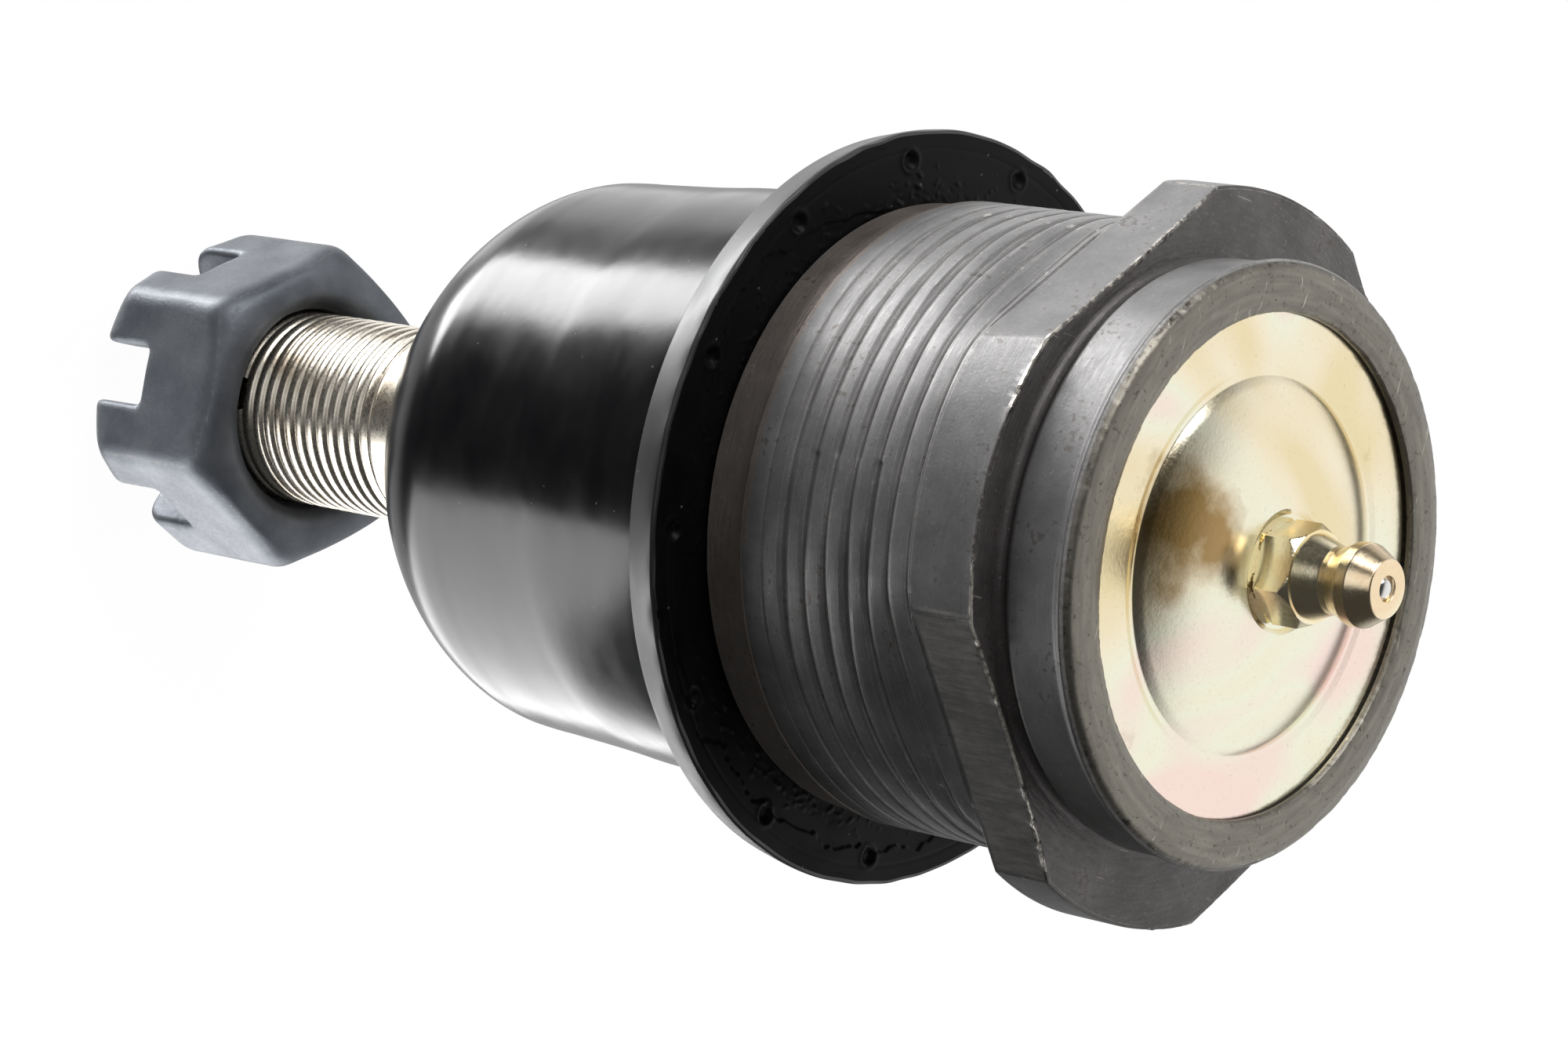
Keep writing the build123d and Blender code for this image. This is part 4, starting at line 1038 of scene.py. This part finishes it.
def surface_net(distance, low, high, cell):
    """Quads round the zero level of a distance field, each corner slid onto the surface."""
    axes = [np.arange(lo, hi + cell, cell) for lo, hi in zip(low, high)]
    points = np.stack(np.meshgrid(*axes, indexing="ij"), -1)
    inside = distance(points) < 0
    corners = [inside[i : i + inside.shape[0] - 1 or None, j : j + inside.shape[1] - 1 or None,
                      k : k + inside.shape[2] - 1 or None] for i in (0, 1) for j in (0, 1) for k in (0, 1)]
    total = np.sum(corners, 0)
    mixed = (total > 0) & (total < 8)
    number = np.full(mixed.shape, -1)
    number[mixed] = np.arange(mixed.sum())
    spots = np.argwhere(mixed) * cell + np.array([a[0] for a in axes]) + cell / 2
    for _ in range(4):
        value = distance(spots)
        slope = np.stack([(distance(spots + step) - distance(spots - step)) / 0.02
                          for step in np.eye(3) * 0.01], -1)
        spots = spots - slope * (value / np.maximum((slope**2).sum(-1), 0.2))[:, None]
    faces = []
    for axis in range(3):
        u, v = [n for n in range(3) if n != axis]
        a = np.take(inside, range(inside.shape[axis] - 1), axis)
        b = np.take(inside, range(1, inside.shape[axis]), axis)
        for cell_at in np.argwhere(a != b):
            if cell_at[u] == 0 or cell_at[v] == 0:
                continue
            ring = []
            for du, dv in ((0, 0), (1, 0), (1, 1), (0, 1)):
                spot = cell_at.copy()
                spot[u] -= du
                spot[v] -= dv
                ring.append(number[tuple(spot)])
            faces.append(ring)
    return spots, faces


def castle_nut():
    """Forged nut, worn at its edges and at the mouths of its slots."""
    cell = 0.28
    margin = 0.8
    side = round(NUT_AF / 2 / cos(pi / 6), 1) + margin
    low, high = (-side, -side, NUT_LOW - margin), (side, side, NUT_BASE + margin)
    spots, faces = surface_net(nut_distance, low, high, cell)
    flats, base, crown, *_, slots = nut_parts(spots)
    spread = np.sort(np.stack(flats + [base, crown], -1), -1)
    worn = np.clip(1 + spread[:, -2] / 0.75, 0, 1)
    mouth = np.clip(1 - np.abs(np.maximum.reduce(slots)) / 0.35, 0, 1)
    mouth *= np.clip(1 + spread[:, -1] / 0.5, 0, 1)
    mesh = bpy.data.meshes.new("castle_nut_forging")
    mesh.from_pydata((spots * MM).tolist(), [], faces)
    wear = mesh.attributes.new("wear", "FLOAT", "POINT")
    wear.data.foreach_set("value", np.maximum(worn * 0.75, mouth * 0.4).astype(np.float32))
    dress(mesh, "castle_nut_forging", "nut", [OXIDE], ["castle_nut"], sharp=70)


housing()
cover()
fitting()
stud()
boot_flange()
boot_body()
castle_nut()
# what is inside keeps its solid and only takes a finish
INSIDE = {
    "lower_bearing": SINTERED,
    "upper_bearing": SINTERED,
    "preload_disc": SPRING,
    "check_spring": SPRING,
    "check_ball": HARD,
    "flange_ring": BRIGHT,
    "lip_ring": BRIGHT,
}
for node, finish in INSIDE.items():
    NODES[node].material_slots[0].material = finish


# ---- stage: floor, light and camera ------------------------------------------------------------
RIGHT = Vector((-0.63340685, -0.24178733, 0.73507459))
UP = Vector((0.21970406, -0.96703104, -0.1287676))
BACK = Vector((0.74197432, 0.07993659, 0.66564574))
CAMERA_PLACE = Vector((294.393, 34.536, 236.673)) * MM
CENTRE = Vector((0, 0, -34)) * MM


def camera():
    """Long lens, looking down past the cover along the part."""
    data = bpy.data.cameras.new("camera")
    data.lens = 109.82
    data.sensor_width = 36
    data.clip_start = 0.01
    eye = bpy.data.objects.new("camera", data)
    eye.matrix_world = Matrix.Translation(CAMERA_PLACE) @ Matrix((RIGHT, UP, BACK)).transposed().to_4x4()
    bpy.context.scene.collection.objects.link(eye)
    bpy.context.scene.camera = eye


def softbox(name, towards, distance, width, height, level, facing=None):
    """Area lamp of this radiance, set off in one direction from the part's middle and square-on to
    it, or facing another way, with its long side as near as can be to Z."""
    away = Vector(facing or towards).normalized()
    side = Vector((0, 0, 1)).cross(away).normalized()
    data = bpy.data.lights.new(name, "AREA")
    data.shape, data.size, data.size_y = "RECTANGLE", width, height
    data.energy = level * width * height * pi
    lamp = bpy.data.objects.new(name, data)
    spot = CENTRE + Vector(towards).normalized() * distance
    aim = Matrix((side, away.cross(side), away)).transposed().to_4x4()
    lamp.matrix_world = Matrix.Translation(spot) @ aim
    lamp.visible_camera = False
    bpy.context.scene.collection.objects.link(lamp)


def studio():
    """White sweep behind the object, a white card over the cover and a small one in front, in a
    room that is dark elsewhere. Mirrored rays meet each of them in its own direction."""
    world = bpy.data.worlds.new("studio")
    bpy.context.scene.world = world
    world.use_nodes = True
    tree = world.node_tree
    tree.nodes.clear()
    towards = add(tree, "TexCoord").outputs["Generated"]

    def card(centre, low, high, dark, light):
        """Glow of a card round a direction: light inside the high cosine, dark outside the low one."""
        middle = Vector(centre).normalized()
        facing = add(tree, "VectorMath", {"operation": "DOT_PRODUCT"}, i0=towards, i1=middle).outputs["Value"]
        return add(tree, "MapRange", {"interpolation_type": "SMOOTHSTEP"}, Value=facing,
                   From_Min=low, From_Max=high, To_Min=dark, To_Max=light).outputs[0]

    sweep = card((-0.74, -0.43, -0.67), 0.48, 0.68, 0.05, 0.55)
    over_cover = card((-0.85, -0.02, 0.5), 0.45, 0.82, 0.05, 1.0)
    front = card((0.89, -0.1, 0.43), 0.9, 0.97, 0.0, 1.0)
    larger = {"operation": "MAXIMUM"}
    level = add(tree, "Math", larger, i0=sweep, i1=over_cover).outputs[0]
    level = add(tree, "Math", larger, i0=level, i1=front).outputs[0]
    rays = add(tree, "LightPath").outputs
    seen = add(tree, "Math", larger, i0=rays["Is Camera Ray"], i1=rays["Is Transmission Ray"]).outputs[0]
    strength = add(tree, "Math", larger, i0=seen, i1=level).outputs[0]
    sky = add(tree, "Background", Color=(1, 1, 1, 1), Strength=strength)
    output = tree.nodes.new("ShaderNodeOutputWorld")
    tree.links.new(sky.outputs[0], output.inputs["Surface"])


def floor():
    """Plain pale floor under the nut. It shows as white and keeps a faint shadow."""
    mesh = bpy.data.meshes.new("floor")
    reach, height = 3.0, (NUT_LOW - 0.3) * MM
    corners = [(x * reach, y * reach, height) for x, y in ((-1, -1), (1, -1), (1, 1), (-1, 1))]
    mesh.from_pydata(corners, [], [(0, 1, 2, 3)])
    ground = bpy.data.objects.new("floor", mesh)
    bpy.context.scene.collection.objects.link(ground)
    # lamps stand on every side, also below: the floor only takes the shadow
    for kind in ("diffuse", "glossy", "transmission", "shadow"):
        setattr(ground, "visible_" + kind, False)
    material, tree, surface, _ = fresh("floor_paint")
    rays = add(tree, "LightPath").outputs
    seen = add(tree, "Math", {"operation": "MAXIMUM"}, i0=rays["Is Camera Ray"],
               i1=rays["Is Glossy Ray"]).outputs[0]
    share = add(tree, "Math", {"operation": "MULTIPLY"}, i0=seen, i1=0.94).outputs[0]
    paint = add(tree, "BsdfDiffuse", Color=colour("#ececea"))
    glow = add(tree, "Emission", Color=(1, 1, 1, 1), Strength=1.03)
    mixed = add(tree, "MixShader", i0=share, i1=paint.outputs[0], i2=glow.outputs[0])
    tree.links.new(mixed.outputs[0], surface)
    mesh.materials.append(material)


camera()
studio()
floor()
# above the nut's end, above and behind, above the cover, and a card that lights the boot from below
softbox("overhead_box", (0.33, -0.62, -0.70), 0.8, 0.28, 0.8, 12.5)
softbox("rear_box", (-0.40, -0.62, -0.55), 0.9, 0.5, 0.9, 1.0)
softbox("key_box", (0.25, -0.75, 0.60), 0.9, 0.6, 0.6, 4.8)
softbox("table_card", (0.02, 0.07, -0.114), 0.135, 0.19, 0.12, 4.0, facing=(0, 1, 0))
bpy.context.scene.view_settings.view_transform = "Standard"
